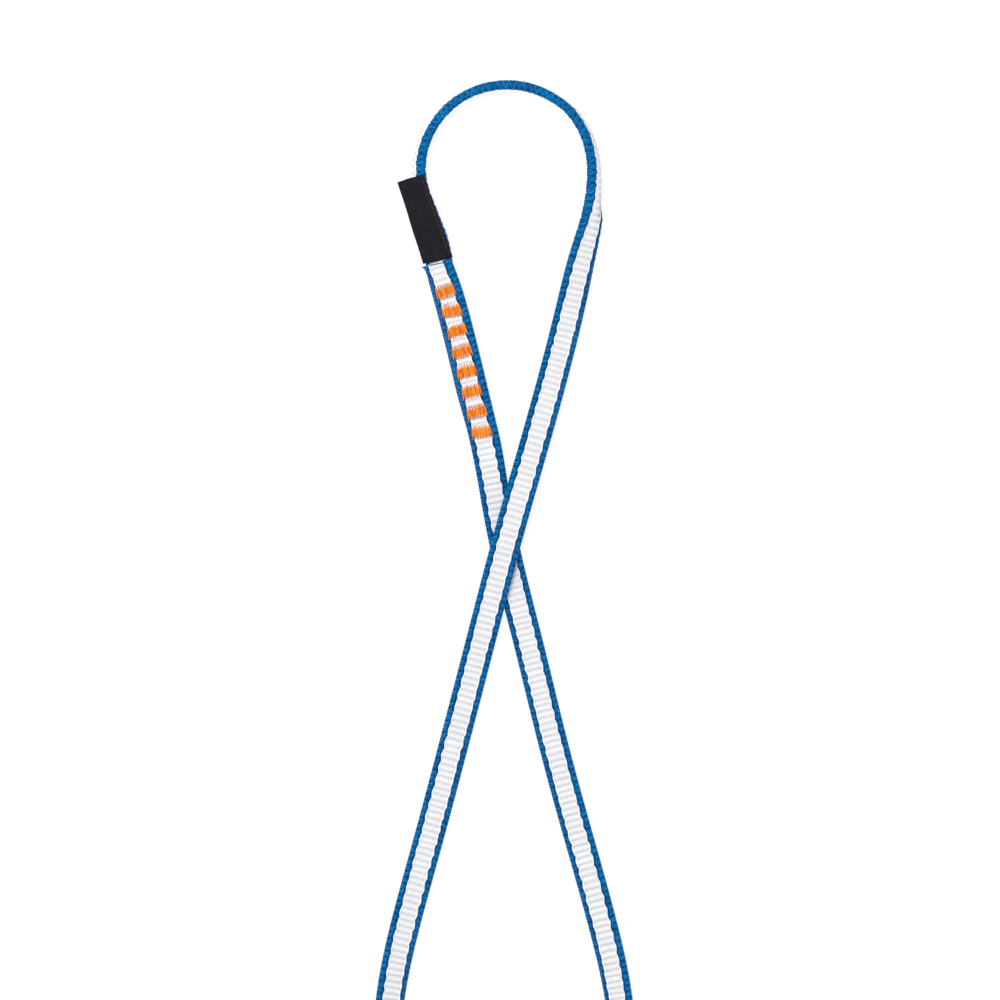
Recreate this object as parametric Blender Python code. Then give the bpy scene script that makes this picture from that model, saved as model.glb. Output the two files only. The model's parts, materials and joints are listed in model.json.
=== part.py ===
"""A sewn climbing sling of narrow webbing, lying loosely on a flat surface with its two sides crossed.

The sling is one strip of webbing whose ends overlap and are held by a row of bar tacks, with a folded
ribbon label sewn on beside the joint. Its route is a closed smooth curve on the surface. At each place
on the route the webbing leans by its own angle, from lying flat to standing on one edge, and where it
passes over itself it is lifted by a layer. The white core and the two coloured edges are carried along
that route as three sections side by side.

Directions: +X and +Y lie in the surface, +Y runs along the sling towards its joint, +Z points up, and
the origin is on the surface under the middle of the sling. Everything is in metres.
"""

import math

import bmesh
import bpy
import numpy as np
from mathutils import Matrix, Vector

# Webbing
LOOP_LENGTH = 1.2
WEBBING_WIDTH = 0.010
WEBBING_THICKNESS = 0.0028
SELVEDGE_WIDTH = 0.0017
CLEARANCE = 0.0003
STATION_STEP = 0.0062
CURVE_STEP = 0.0003
END_FLARE_SHARE = 1.06

# Bar tacks
TACK_COUNT = 8
FIRST_TACK = 0.0103
TACK_PITCH = 0.00707
TACK_LENGTH = 0.0036
TACK_WIDTH = 0.0068
TACK_STAGGER = 0.0004
TACK_THREADS = 7
PAD_THICKNESS = 0.00045
PAD_CLEARANCE = 0.0002
LEG_WIDTH = 0.0024
LEG_LENGTH = 0.0006
LEG_SPACING = 0.0021
JOINT_TAIL = 0.0050
FRONT_DROP = 0.022

# Label
LABEL_LENGTH = 0.030
LABEL_WIDTH = 0.0102
LABEL_THICKNESS = 0.0009
LABEL_PLY = 0.00035
LABEL_LEAN_DEGREES = 25.0
LABEL_FROM_CUT_END = 0.0012
MARGIN_WIDTH = 0.0017
HINGE_CLEARANCE = 0.00015
STITCH_COUNT = 7
STITCH_SIZE = 0.0004
STITCH_INSET = 0.0020

# How finely round shapes are cut, and in how many places the label finds what it lies on
EDGE_FACETS = 4
FOLD_FACETS = 6
LABEL_PROBES = 15

# The route, once round from the cut end of the strip: place along X and Y as shares of the loop's
# length, lean from the surface in degrees, and lift as a share of one layer of webbing.
ROUTE_SHARES = (
    (-0.0185, 0.1802, 27, 0.20),
    (-0.0153, 0.1694, 18, 0.25),
    (-0.0120, 0.1566, 16, 0.25),
    (-0.0086, 0.1423, 15, 0.20),
    (-0.0050, 0.1253, 8, 0.20),
    (-0.0005, 0.1011, 3, 0.00),
    (0.0071, 0.0698, 5, 0.00),
    (0.0141, 0.0414, 7, 0.00),
    (0.0219, 0.0129, 9, 0.00),
    (0.0285, -0.0112, 14, 0.00),
    (0.0335, -0.0383, 26, 0.00),
    (0.0315, -0.0667, 26, 0.00),
    (0.0223, -0.0951, 14, 0.00),
    (0.0100, -0.1207, 4, 0.00),
    (-0.0022, -0.1463, 4, 0.00),
    (-0.0121, -0.1719, 40, 0.00),
    (-0.0184, -0.1975, 74, 0.00),
    (-0.0167, -0.2197, 88, 0.00),
    (0.0001, -0.2322, 90, 0.00),
    (0.0169, -0.2197, 88, 0.00),
    (0.0186, -0.1975, 74, 0.00),
    (0.0123, -0.1719, 40, 0.15),
    (0.0024, -0.1463, 5, 1.25),
    (-0.0099, -0.1207, 4, 0.85),
    (-0.0221, -0.0951, 8, 0.15),
    (-0.0313, -0.0667, 20, 0.00),
    (-0.0335, -0.0383, 18, 0.00),
    (-0.0286, -0.0104, 6, 0.00),
    (-0.0223, 0.0129, 0, 0.00),
    (-0.0147, 0.0414, 0, 0.00),
    (-0.0073, 0.0698, 1, 0.55),
    (0.0009, 0.1011, 2, 1.40),
    (0.0090, 0.1296, 4, 1.45),
    (0.0152, 0.1523, 6, 0.50),
    (0.0194, 0.1694, 14, 0.00),
    (0.0224, 0.1822, 31, 0.00),
    (0.0248, 0.1921, 50, 0.00),
    (0.0257, 0.2012, 67, 0.00),
    (0.0250, 0.2106, 78, 0.00),
    (0.0206, 0.2208, 86, 0.00),
    (0.0120, 0.2281, 90, 0.00),
    (0.0009, 0.2308, 90, 0.00),
    (-0.0102, 0.2282, 89, 0.00),
    (-0.0195, 0.2203, 85, 0.00),
    (-0.0242, 0.2100, 76, 0.00),
    (-0.0246, 0.2029, 67, 0.00),
    (-0.0231, 0.1958, 54, 0.00),
    (-0.0206, 0.1873, 38, 0.10),
)

# Sizes worked out from the ones above
LAYER_PITCH = WEBBING_THICKNESS + CLEARANCE
EDGE_RADIUS = WEBBING_THICKNESS / 2
EDGE_CENTRE = WEBBING_WIDTH / 2 - EDGE_RADIUS
CORE_HALF_WIDTH = WEBBING_WIDTH / 2 - SELVEDGE_WIDTH - CLEARANCE
OVERLAP = FIRST_TACK + (TACK_COUNT - 1) * TACK_PITCH + JOINT_TAIL
STRIP_LENGTH = LOOP_LENGTH + OVERLAP
UP = Vector((0, 0, 1))


def ease(share):
    """A smooth step from 0 to 1 as the share goes from 0 to 1."""
    share = min(max(share, 0.0), 1.0)
    return share * share * (3 - 2 * share)


def closed_cubic(knots, values, at):
    """The closed cubic curve through the values, smooth in its bend: its second derivatives solve one
    linear system that goes once round the knots. The last knot closes the round."""
    gaps = np.diff(knots)
    count = len(gaps)
    system = np.zeros((count, count))
    right = np.zeros((count, values.shape[1]))
    for i in range(count):
        before = gaps[i - 1]
        after = gaps[i]
        ahead = (i + 1) % count
        system[i, i - 1] += before
        system[i, i] += 2 * (before + after)
        system[i, ahead] += after
        right[i] = 6 * ((values[ahead] - values[i]) / after - (values[i] - values[i - 1]) / before)
    bends = np.linalg.solve(system, right)
    k = np.clip(np.searchsorted(knots, at, side="right") - 1, 0, count - 1)
    ahead = (k + 1) % count
    gap = gaps[k][:, None]
    past = (at - knots[k])[:, None]
    left = gap - past
    curved = (bends[k] * left**3 + bends[ahead] * past**3) / (6 * gap)
    straight_from = (values[k] / gap - bends[k] * gap / 6) * left
    straight_to = (values[ahead] / gap - bends[ahead] * gap / 6) * past
    return curved + straight_from + straight_to


def closed_steady(knots, values, at):
    """A closed smooth curve through the values that never runs past them: a cubic whose slope at each
    knot is a mean of the slopes beside it, and 0 where these differ in sign."""
    gaps = np.diff(knots)
    slopes = (np.roll(values, -1) - values) / gaps
    slopes_before = np.roll(slopes, 1)
    gaps_before = np.roll(gaps, 1)
    weight_before = 2 * gaps + gaps_before
    weight_after = gaps + 2 * gaps_before
    same_way = slopes * slopes_before > 0
    safe_before = np.where(same_way, slopes_before, 1.0)
    safe_after = np.where(same_way, slopes, 1.0)
    mean = (weight_before + weight_after) / (weight_before / safe_before + weight_after / safe_after)
    tangents = np.where(same_way, mean, 0.0)
    k = np.clip(np.searchsorted(knots, at, side="right") - 1, 0, len(gaps) - 1)
    ahead = (k + 1) % len(gaps)
    t = (at - knots[k]) / gaps[k]
    ends = (2 * t**3 - 3 * t**2 + 1) * values[k] + (3 * t**2 - 2 * t**3) * values[ahead]
    turns = (t**3 - 2 * t**2 + t) * tangents[k] + (t**3 - t**2) * tangents[ahead]
    return ends + turns * gaps[k]


class Route:
    """The sling's closed route on the surface, read by the distance along it from the cut end."""

    def __init__(self):
        rows = np.array(ROUTE_SHARES)
        points = rows[:, :2] * LOOP_LENGTH
        chords = np.linalg.norm(np.roll(points, -1, axis=0) - points, axis=1)
        knots = np.concatenate([[0.0], np.cumsum(chords)])
        at = np.linspace(0.0, knots[-1], math.ceil(knots[-1] / CURVE_STEP) + 1)
        plan = closed_cubic(knots, points, at)
        plan -= (plan.min(axis=0) + plan.max(axis=0)) / 2
        run = np.concatenate([[0.0], np.cumsum(np.linalg.norm(np.diff(plan, axis=0), axis=1))])
        scale = LOOP_LENGTH / run[-1]
        self.run = run * scale
        self.plan = plan * scale
        self.lean = np.radians(closed_steady(knots, rows[:, 2], at))
        self.lift = closed_steady(knots, rows[:, 3], at)

    def read(self, column, distance):
        return float(np.interp(distance % LOOP_LENGTH, self.run, column))

    def place(self, distance):
        """The point of the plan, on the surface, at this distance."""
        return Vector((self.read(self.plan[:, 0], distance), self.read(self.plan[:, 1], distance), 0.0))

    def frame(self, distance):
        """The webbing's own directions: across it, along it and out of its outer face."""
        ahead = self.place(distance + CURVE_STEP)
        along = (ahead - self.place(distance - CURVE_STEP)).normalized()
        lean = self.read(self.lean, distance)
        across = UP.cross(along) * math.cos(lean) + UP * math.sin(lean)
        return across, along, along.cross(across)

    def height(self, distance):
        """The middle of the webbing above the surface: its lower edge touches it unless lifted."""
        lean = self.read(self.lean, distance)
        resting = EDGE_CENTRE * abs(math.sin(lean)) + EDGE_RADIUS
        return resting + self.read(self.lift, distance) * LAYER_PITCH

    def middle(self, distance):
        """The middle of the inner layer of webbing, which follows the route itself."""
        return self.place(distance) + UP * self.height(distance)

    def strip_middle(self, distance):
        """The middle of the strip. Its first stretch lies on top of its own last stretch."""
        on_top = 1.0 - ease((distance - OVERLAP - LAYER_PITCH) / FRONT_DROP)
        outwards = self.frame(distance)[2]
        return self.middle(distance) + outwards * LAYER_PITCH * on_top


def clear_scene():
    for thing in list(bpy.data.objects):
        bpy.data.objects.remove(thing, do_unlink=True)


def new_collection(name):
    collection = bpy.data.collections.new(name)
    bpy.context.scene.collection.children.link(collection)
    return collection


def new_material(name, color, roughness):
    material = bpy.data.materials.new(name)
    material.use_nodes = True
    shader = material.node_tree.nodes["Principled BSDF"]
    shader.inputs["Base Color"].default_value = (*color, 1.0)
    shader.inputs["Roughness"].default_value = roughness
    shader.inputs["Metallic"].default_value = 0.0
    material.diffuse_color = (*color, 1.0)
    return material


def hide_helper(helper):
    helper.hide_render = True
    helper.display_type = "WIRE"


def flat_curve(name, corners, collection):
    """A closed flat outline as a curve object."""
    data = bpy.data.curves.new(name, "CURVE")
    data.dimensions = "2D"
    spline = data.splines.new("POLY")
    spline.points.add(len(corners) - 1)
    for point, (x, y) in zip(spline.points, corners):
        point.co = (x, y, 0.0, 1.0)
    spline.use_cyclic_u = True
    outline = bpy.data.objects.new(name, data)
    collection.objects.link(outline)
    return outline


def swept_curve(name, section, route, collection):
    """The strip's route as a curve object that carries one section, leaning as the webbing does."""
    data = bpy.data.curves.new(name, "CURVE")
    data.dimensions = "3D"
    data.twist_mode = "Z_UP"
    data.bevel_mode = "OBJECT"
    data.bevel_object = section
    data.use_fill_caps = True
    data.resolution_u = 1
    count = math.ceil(STRIP_LENGTH / STATION_STEP) + 1
    spline = data.splines.new("POLY")
    spline.points.add(count - 1)
    for point, distance in zip(spline.points, np.linspace(0.0, STRIP_LENGTH, count)):
        point.co = (*route.strip_middle(distance), 1.0)
        point.tilt = route.read(route.lean, distance)
        point.radius = 1.0
    spline.points[0].radius = END_FLARE_SHARE
    strip = bpy.data.objects.new(name, data)
    collection.objects.link(strip)
    return strip


def as_mesh(source, name, collection):
    """A mesh object in place of a curve object or of one with modifiers, its caps welded on."""
    bpy.context.view_layer.update()
    evaluated = source.evaluated_get(bpy.context.evaluated_depsgraph_get())
    data = bpy.data.meshes.new_from_object(evaluated)
    weld(data)
    made = bpy.data.objects.new(name, data)
    made.matrix_world = source.matrix_world.copy()
    collection.objects.link(made)
    bpy.data.objects.remove(source, do_unlink=True)
    return made


def weld(data):
    """Merges the doubled corners where a curve's caps meet its sides, and turns the faces outwards."""
    mesh = bmesh.new()
    mesh.from_mesh(data)
    bmesh.ops.remove_doubles(mesh, verts=mesh.verts, dist=CLEARANCE / 100)
    bmesh.ops.recalc_face_normals(mesh, faces=mesh.faces)
    mesh.to_mesh(data)
    mesh.free()


def frame_matrix(origin, x_axis, y_axis, z_axis):
    """The placing of something whose own X, Y and Z lie along three given directions."""
    turned = Matrix((x_axis, y_axis, z_axis)).transposed().to_4x4()
    return Matrix.Translation(origin) @ turned


def box(name, size, centre, collection):
    """A box of this size, its middle at the centre."""
    data = bpy.data.meshes.new(name)
    mesh = bmesh.new()
    bmesh.ops.create_cube(mesh, size=1.0)
    bmesh.ops.scale(mesh, vec=size, verts=mesh.verts)
    bmesh.ops.translate(mesh, vec=centre, verts=mesh.verts)
    mesh.to_mesh(data)
    mesh.free()
    made = bpy.data.objects.new(name, data)
    collection.objects.link(made)
    return made


def with_boolean(target, other, operation):
    """Cuts the other piece from the target, or joins it on, and takes the other piece away."""
    step = target.modifiers.new(operation.lower(), "BOOLEAN")
    step.operation = operation
    step.object = other
    bpy.context.view_layer.update()
    evaluated = target.evaluated_get(bpy.context.evaluated_depsgraph_get())
    data = bpy.data.meshes.new_from_object(evaluated)
    target.modifiers.clear()
    target.data = data
    bpy.data.objects.remove(other, do_unlink=True)


def core_section(collection):
    """The white middle of the webbing: a flat rectangle."""
    half = WEBBING_THICKNESS / 2
    corners = (
        (-CORE_HALF_WIDTH, -half),
        (CORE_HALF_WIDTH, -half),
        (CORE_HALF_WIDTH, half),
        (-CORE_HALF_WIDTH, half),
    )
    section = flat_curve("core_section", corners, collection)
    hide_helper(section)
    return section


def selvedge_section(name, side, collection):
    """A blue edge: flat against the core and round on its outer side. On a swept curve a section's
    own +X is the lower side of the webbing and its +Y the outer face."""
    inner = WEBBING_WIDTH / 2 - SELVEDGE_WIDTH
    corners = [(side * inner, -EDGE_RADIUS)]
    for i in range(EDGE_FACETS + 1):
        angle = -math.pi / 2 + math.pi * i / EDGE_FACETS
        reach = EDGE_CENTRE + EDGE_RADIUS * math.cos(angle)
        corners.append((side * reach, EDGE_RADIUS * math.sin(angle)))
    corners.append((side * inner, EDGE_RADIUS))
    section = flat_curve(name, corners, collection)
    hide_helper(section)
    return section


def tack_distances():
    return [FIRST_TACK + i * TACK_PITCH for i in range(TACK_COUNT)]


def tack_matrix(route, distance):
    """A bar tack's placing: X across the webbing, Z out of its outer face, origin between the layers."""
    across, along, outwards = route.frame(distance)
    between = route.middle(distance) + outwards * LAYER_PITCH / 2
    return frame_matrix(between, across, -along, outwards)


def make_core(route, collection, helpers):
    section = core_section(helpers)
    core = as_mesh(swept_curve("core_sweep", section, route, helpers), "webbing_core", collection)
    size = (LEG_WIDTH + 2 * CLEARANCE, LEG_LENGTH + 2 * CLEARANCE, 3 * LAYER_PITCH)
    slots = bmesh.new()
    for distance in tack_distances():
        for side in (-1, 1):
            place = Matrix.Translation((0.0, side * LEG_SPACING / 2, 0.0))
            shape = Matrix.Diagonal((*size, 1.0))
            bmesh.ops.create_cube(slots, size=1.0, matrix=tack_matrix(route, distance) @ place @ shape)
    data = bpy.data.meshes.new("needle_slots")
    slots.to_mesh(data)
    slots.free()
    cutter = bpy.data.objects.new("needle_slots", data)
    helpers.objects.link(cutter)
    hide_helper(cutter)
    with_boolean(core, cutter, "DIFFERENCE")
    return core


def make_selvedge(name, side, route, collection, helpers):
    section = selvedge_section(name + "_section", side, helpers)
    return as_mesh(swept_curve(name + "_sweep", section, route, helpers), name, collection)


def thread_pad(name, collection):
    """One face of a bar tack: threads side by side, every other one set forward, so both ends are
    toothed."""
    width = TACK_WIDTH / TACK_THREADS
    far_end = []
    near_end = []
    for i in range(TACK_THREADS):
        left = -TACK_WIDTH / 2 + i * width
        shift = TACK_STAGGER * (i % 2 - 1 / 2)
        half = (TACK_LENGTH - TACK_STAGGER) / 2
        far_end += [(left, shift + half), (left + width, shift + half)]
        near_end += [(left, shift - half), (left + width, shift - half)]
    pad = flat_curve(name, far_end + near_end[::-1], collection)
    pad.data.fill_mode = "BOTH"
    pad.data.extrude = PAD_THICKNESS / 2
    return as_mesh(pad, name, collection)


def make_tacks(route, collection, helpers, material):
    """Each bar tack is a pad on either face, joined by two legs through slots in both layers."""
    pad_middle = LAYER_PITCH / 2 + WEBBING_THICKNESS / 2 + PAD_CLEARANCE + PAD_THICKNESS / 2
    tack = thread_pad("tack_front", helpers)
    tack.data.transform(Matrix.Translation((0.0, 0.0, pad_middle)))
    back = thread_pad("tack_back", helpers)
    back.data.transform(Matrix.Translation((0.0, 0.0, -pad_middle)))
    with_boolean(tack, back, "UNION")
    for side in (-1, 1):
        centre = (0.0, side * LEG_SPACING / 2, 0.0)
        leg = box("tack_leg", (LEG_WIDTH, LEG_LENGTH, 2 * pad_middle), centre, helpers)
        with_boolean(tack, leg, "UNION")
    tack.data.materials.clear()
    tack.data.materials.append(material)
    for i, distance in enumerate(tack_distances(), start=1):
        copy = bpy.data.objects.new(f"bar_tack_{i}", tack.data)
        copy.matrix_world = tack_matrix(route, distance)
        collection.objects.link(copy)
    bpy.data.objects.remove(tack, do_unlink=True)


def label_matrix(route):
    """The label's placing: X from its hinge to its free edge, Y along the hinge towards the joint and
    Z out of its face. It lies on the highest line of the raised webbing edge under it."""
    low_end = -LABEL_FROM_CUT_END
    high_end = low_end - LABEL_LENGTH
    reach = EDGE_CENTRE + EDGE_RADIUS - SELVEDGE_WIDTH / 2
    ends = []
    for distance in (high_end, low_end):
        across = route.frame(distance)[0]
        ends.append(route.middle(distance) + across * reach)
    hinge = (ends[1] - ends[0]).normalized()
    sideways = UP.cross(hinge).normalized()
    lean = math.radians(LABEL_LEAN_DEGREES)
    leaning = UP * math.cos(lean) - sideways * math.sin(lean)
    face = (leaning - hinge * leaning.dot(hinge)).normalized()
    free_edge = hinge.cross(face)
    highest = max(
        (route.middle(distance) - ends[0]).dot(face)
        + EDGE_CENTRE * abs(route.frame(distance)[0].dot(face))
        + EDGE_RADIUS
        for distance in np.linspace(high_end, low_end, LABEL_PROBES)
    )
    middle = (ends[0] + ends[1]) / 2
    middle += face * (highest + CLEARANCE - (middle - ends[0]).dot(face))
    return frame_matrix(middle, free_edge, hinge, face)


def leaf_outline():
    """The free leaf seen from its end: two plies of ribbon with a round fold at the free edge."""
    start = HINGE_CLEARANCE
    outer = LABEL_THICKNESS / 2
    inner = outer - LABEL_PLY
    turn = LABEL_WIDTH - MARGIN_WIDTH - outer
    corners = [(start, 0.0)]
    for i in range(FOLD_FACETS + 1):
        angle = -math.pi / 2 + math.pi * i / FOLD_FACETS
        corners.append((turn + outer * math.cos(angle), outer + outer * math.sin(angle)))
    corners.append((start, LABEL_THICKNESS))
    corners.append((start, LABEL_THICKNESS - LABEL_PLY))
    for i in range(FOLD_FACETS + 1):
        angle = math.pi / 2 - math.pi * i / FOLD_FACETS
        corners.append((turn + inner * math.cos(angle), outer + inner * math.sin(angle)))
    corners.append((start, LABEL_PLY))
    return corners


def make_leaf(route, collection, helpers):
    """The free leaf, its origin on the line it folds about, at the top of the label's sewn margin."""
    leaf = flat_curve("leaf_outline", leaf_outline(), helpers)
    leaf.data.fill_mode = "BOTH"
    leaf.data.extrude = LABEL_LENGTH / 2
    leaf = as_mesh(leaf, "label_leaf", collection)
    leaf.data.transform(Matrix.Rotation(math.pi / 2, 4, "X"))
    leaf.data.transform(Matrix.Translation((0.0, 0.0, -LABEL_THICKNESS - HINGE_CLEARANCE)))
    rise = Matrix.Translation((0.0, 0.0, LABEL_THICKNESS + HINGE_CLEARANCE))
    leaf.matrix_world = label_matrix(route) @ rise
    return leaf


def stitch_places():
    """Where the label's thread goes through its margin, along the hinge."""
    span = LABEL_LENGTH - 2 * STITCH_INSET
    return [-span / 2 + span * i / (STITCH_COUNT - 1) for i in range(STITCH_COUNT)]


def make_margin(route, collection, helpers):
    """The sewn-down margin, with a hole for each stitch."""
    size = (MARGIN_WIDTH - HINGE_CLEARANCE, LABEL_LENGTH, LABEL_THICKNESS)
    across = -(MARGIN_WIDTH + HINGE_CLEARANCE) / 2
    margin = box("label_margin", size, (across, 0.0, LABEL_THICKNESS / 2), collection)
    hole = STITCH_SIZE + CLEARANCE
    for place in stitch_places():
        centre = (across, place, LABEL_THICKNESS / 2)
        cutter = box("stitch_hole", (hole, hole, 2 * LABEL_THICKNESS), centre, helpers)
        with_boolean(margin, cutter, "DIFFERENCE")
    margin.matrix_world = label_matrix(route)
    return margin


def make_stitches(route, collection, helpers):
    """The thread that holds the label: a seam on top of the margin and a stitch down each hole."""
    across = -(MARGIN_WIDTH + HINGE_CLEARANCE) / 2
    top = LABEL_THICKNESS + PAD_CLEARANCE
    seam_length = LABEL_LENGTH - 2 * STITCH_INSET + STITCH_SIZE
    seam_centre = (across, 0.0, top + STITCH_SIZE / 2)
    seam = box("label_stitches", (STITCH_SIZE, seam_length, STITCH_SIZE), seam_centre, collection)
    depth = top + STITCH_SIZE / 2
    for place in stitch_places():
        centre = (across, place, depth / 2)
        stitch = box("stitch", (STITCH_SIZE, STITCH_SIZE, depth), centre, helpers)
        with_boolean(seam, stitch, "UNION")
    seam.matrix_world = label_matrix(route)
    return seam


def main():
    clear_scene()
    sling = new_collection("climbing_sling")
    helpers = new_collection("helpers")
    white = new_material("white_fibre", (0.84, 0.84, 0.88), 0.6)
    blue = new_material("blue_fibre", (0.01, 0.13, 0.38), 0.6)
    orange = new_material("orange_thread", (0.86, 0.20, 0.02), 0.5)
    black = new_material("dark_ribbon", (0.02, 0.018, 0.025), 0.7)
    route = Route()
    pieces = (
        (make_core(route, sling, helpers), white),
        (make_selvedge("selvedge_raised", -1, route, sling, helpers), blue),
        (make_selvedge("selvedge_lower", 1, route, sling, helpers), blue),
        (make_leaf(route, sling, helpers), black),
        (make_margin(route, sling, helpers), black),
        (make_stitches(route, sling, helpers), black),
    )
    for piece, material in pieces:
        piece.data.materials.clear()
        piece.data.materials.append(material)
    make_tacks(route, sling, helpers, orange)


main()
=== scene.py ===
"""Dresses a sewn climbing sling of narrow webbing that lies loosely on a pale floor, seen from above.

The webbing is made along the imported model's own route: a flat filling, white warp threads that cross it
rib by rib, and two blue edges, each one skin over the backs of its plaited yarns. Zigzag bar tacks, melted
cut ends and a folded ribbon label go on it. Everything is in metres; +Y runs along the sling towards its
joint and +Z points up.
"""

import json
import logging
import math
from dataclasses import dataclass
from enum import Enum

import bpy
import numpy as np
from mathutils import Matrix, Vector

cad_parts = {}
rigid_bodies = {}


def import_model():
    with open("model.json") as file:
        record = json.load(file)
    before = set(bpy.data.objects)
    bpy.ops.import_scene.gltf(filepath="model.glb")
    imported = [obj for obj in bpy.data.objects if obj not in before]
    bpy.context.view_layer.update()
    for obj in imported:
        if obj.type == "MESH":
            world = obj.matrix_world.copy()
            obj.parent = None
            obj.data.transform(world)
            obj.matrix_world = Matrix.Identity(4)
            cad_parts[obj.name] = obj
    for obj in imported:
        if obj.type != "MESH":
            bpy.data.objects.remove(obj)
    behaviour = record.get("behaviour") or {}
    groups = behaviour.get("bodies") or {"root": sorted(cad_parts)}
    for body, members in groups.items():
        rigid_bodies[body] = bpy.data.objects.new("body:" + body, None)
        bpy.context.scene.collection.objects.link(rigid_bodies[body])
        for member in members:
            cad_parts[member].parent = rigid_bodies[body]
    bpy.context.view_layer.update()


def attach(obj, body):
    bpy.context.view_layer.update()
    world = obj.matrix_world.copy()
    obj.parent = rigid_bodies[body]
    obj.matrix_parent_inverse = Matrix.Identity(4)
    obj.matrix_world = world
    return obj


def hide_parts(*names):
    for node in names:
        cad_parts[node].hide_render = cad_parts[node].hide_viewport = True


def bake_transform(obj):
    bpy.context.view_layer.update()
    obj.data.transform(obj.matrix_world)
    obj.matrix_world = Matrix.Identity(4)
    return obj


LOG = logging.getLogger("climbing_sling")
Array = np.ndarray
MM = 0.001
UP = np.array([0.0, 0.0, 1.0])
THREAD_MAP = "thread_map"
BAKE_MAP = "OFBake"
# The crown attribute holds painted shade and highlight: 0 is the shaded colour of grooves and flanks and 1
# the lit colour, with random tone on some threads.
PAINTED_SHADE_AND_TONE = "crown"
# Painted shade: a thread's flanks are painted darker than its back, down to this share.
FLANK_SHADE = 0.3
THREAD_STEP = 37.7
YARN_STEP = 3.7

# The route, once round from the cut end of the strip, as in the part's source: place along X and Y in
# metres, lean in degrees, and lift in layers of webbing.
ROUTE_ROWS = (
    (-0.02220, 0.21624, 27, 0.20),
    (-0.01836, 0.20328, 18, 0.25),
    (-0.01440, 0.18792, 16, 0.25),
    (-0.01032, 0.17076, 15, 0.20),
    (-0.00600, 0.15036, 8, 0.20),
    (-0.00060, 0.12132, 3, 0.00),
    (0.00852, 0.08376, 5, 0.00),
    (0.01692, 0.04968, 7, 0.00),
    (0.02628, 0.01548, 9, 0.00),
    (0.03420, -0.01344, 14, 0.00),
    (0.04020, -0.04596, 26, 0.00),
    (0.03780, -0.08004, 26, 0.00),
    (0.02676, -0.11412, 14, 0.00),
    (0.01200, -0.14484, 4, 0.00),
    (-0.00264, -0.17556, 4, 0.00),
    (-0.01452, -0.20628, 40, 0.00),
    (-0.02208, -0.23700, 74, 0.00),
    (-0.02004, -0.26364, 88, 0.00),
    (0.00012, -0.27864, 90, 0.00),
    (0.02028, -0.26364, 88, 0.00),
    (0.02232, -0.23700, 74, 0.00),
    (0.01476, -0.20628, 40, 0.15),
    (0.00288, -0.17556, 5, 1.25),
    (-0.01188, -0.14484, 4, 0.85),
    (-0.02652, -0.11412, 8, 0.15),
    (-0.03756, -0.08004, 20, 0.00),
    (-0.04020, -0.04596, 18, 0.00),
    (-0.03432, -0.01248, 6, 0.00),
    (-0.02676, 0.01548, 0, 0.00),
    (-0.01764, 0.04968, 0, 0.00),
    (-0.00876, 0.08376, 1, 0.55),
    (0.00108, 0.12132, 2, 1.40),
    (0.01080, 0.15552, 4, 1.45),
    (0.01824, 0.18276, 6, 0.50),
    (0.02328, 0.20328, 14, 0.00),
    (0.02688, 0.21864, 31, 0.00),
    (0.02976, 0.23052, 50, 0.00),
    (0.03084, 0.24144, 67, 0.00),
    (0.03000, 0.25272, 78, 0.00),
    (0.02472, 0.26496, 86, 0.00),
    (0.01440, 0.27372, 90, 0.00),
    (0.00108, 0.27696, 90, 0.00),
    (-0.01224, 0.27384, 89, 0.00),
    (-0.02340, 0.26436, 85, 0.00),
    (-0.02904, 0.25200, 76, 0.00),
    (-0.02952, 0.24348, 67, 0.00),
    (-0.02772, 0.23496, 54, 0.00),
    (-0.02472, 0.22476, 38, 0.10),
)


class Side(Enum):
    """The two edges of the webbing: the one that stands up where it leans, and the one it stands on."""

    RAISED = 1
    LOWER = -1


class Face(Enum):
    """The outer face of the webbing and the inner one."""

    FRONT = 1
    BACK = -1


@dataclass(frozen=True)
class Webbing:
    """The sizes of the webbing and its joint, as in the part's source."""

    loop_length: float = 1.2
    width: float = 10.0 * MM
    thickness: float = 2.8 * MM
    selvedge_width: float = 1.7 * MM
    clearance: float = 0.3 * MM
    curve_step: float = 0.3 * MM
    front_drop: float = 22.0 * MM
    tack_count: int = 8
    first_tack: float = 10.3 * MM
    tack_pitch: float = 7.07 * MM
    joint_tail: float = 5.0 * MM
    bow: float = 1.2 * MM
    bow_half_width: float = 4.5 * MM
    bow_from_degrees: float = 35.0
    bow_over_degrees: float = 30.0
    bow_to_degrees: float = 92.0
    bow_fade_degrees: float = 5.0
    tuck: float = 1.0 * MM
    tuck_from_degrees: float = 50.0
    tuck_to_degrees: float = 82.0
    tuck_over_degrees: float = 11.0
    inner_shift: float = 1.05 * MM
    front_shift: float = 0.45 * MM
    shift_lead: float = 9.0 * MM
    shift_run: float = 15.0 * MM
    shift_end_run: float = 22.0 * MM
    label_shift: float = 0.80 * MM
    label_shift_run: float = 50.0 * MM

    @property
    def layer_pitch(self) -> float:
        """How far apart the middles of two layers lie."""
        return self.thickness + self.clearance

    @property
    def edge_centre(self) -> float:
        """How far the middle of the round edge lies from the middle of the webbing."""
        return self.width / 2 - self.thickness / 2

    @property
    def overlap(self) -> float:
        """How far the strip's two ends overlap."""
        return self.first_tack + (self.tack_count - 1) * self.tack_pitch + self.joint_tail

    @property
    def strip_length(self) -> float:
        """The length of webbing that was cut for the sling."""
        return self.loop_length + self.overlap


def ease(share: Array) -> Array:
    """A smooth step: 3x^2 - 2x^3, with x held between 0 and 1."""
    x = np.clip(share, 0.0, 1.0)
    return x * x * (3 - 2 * x)


def unit(vectors: Array) -> Array:
    """The same directions with a length of 1."""
    return vectors / np.linalg.norm(vectors, axis=-1, keepdims=True)


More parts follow.
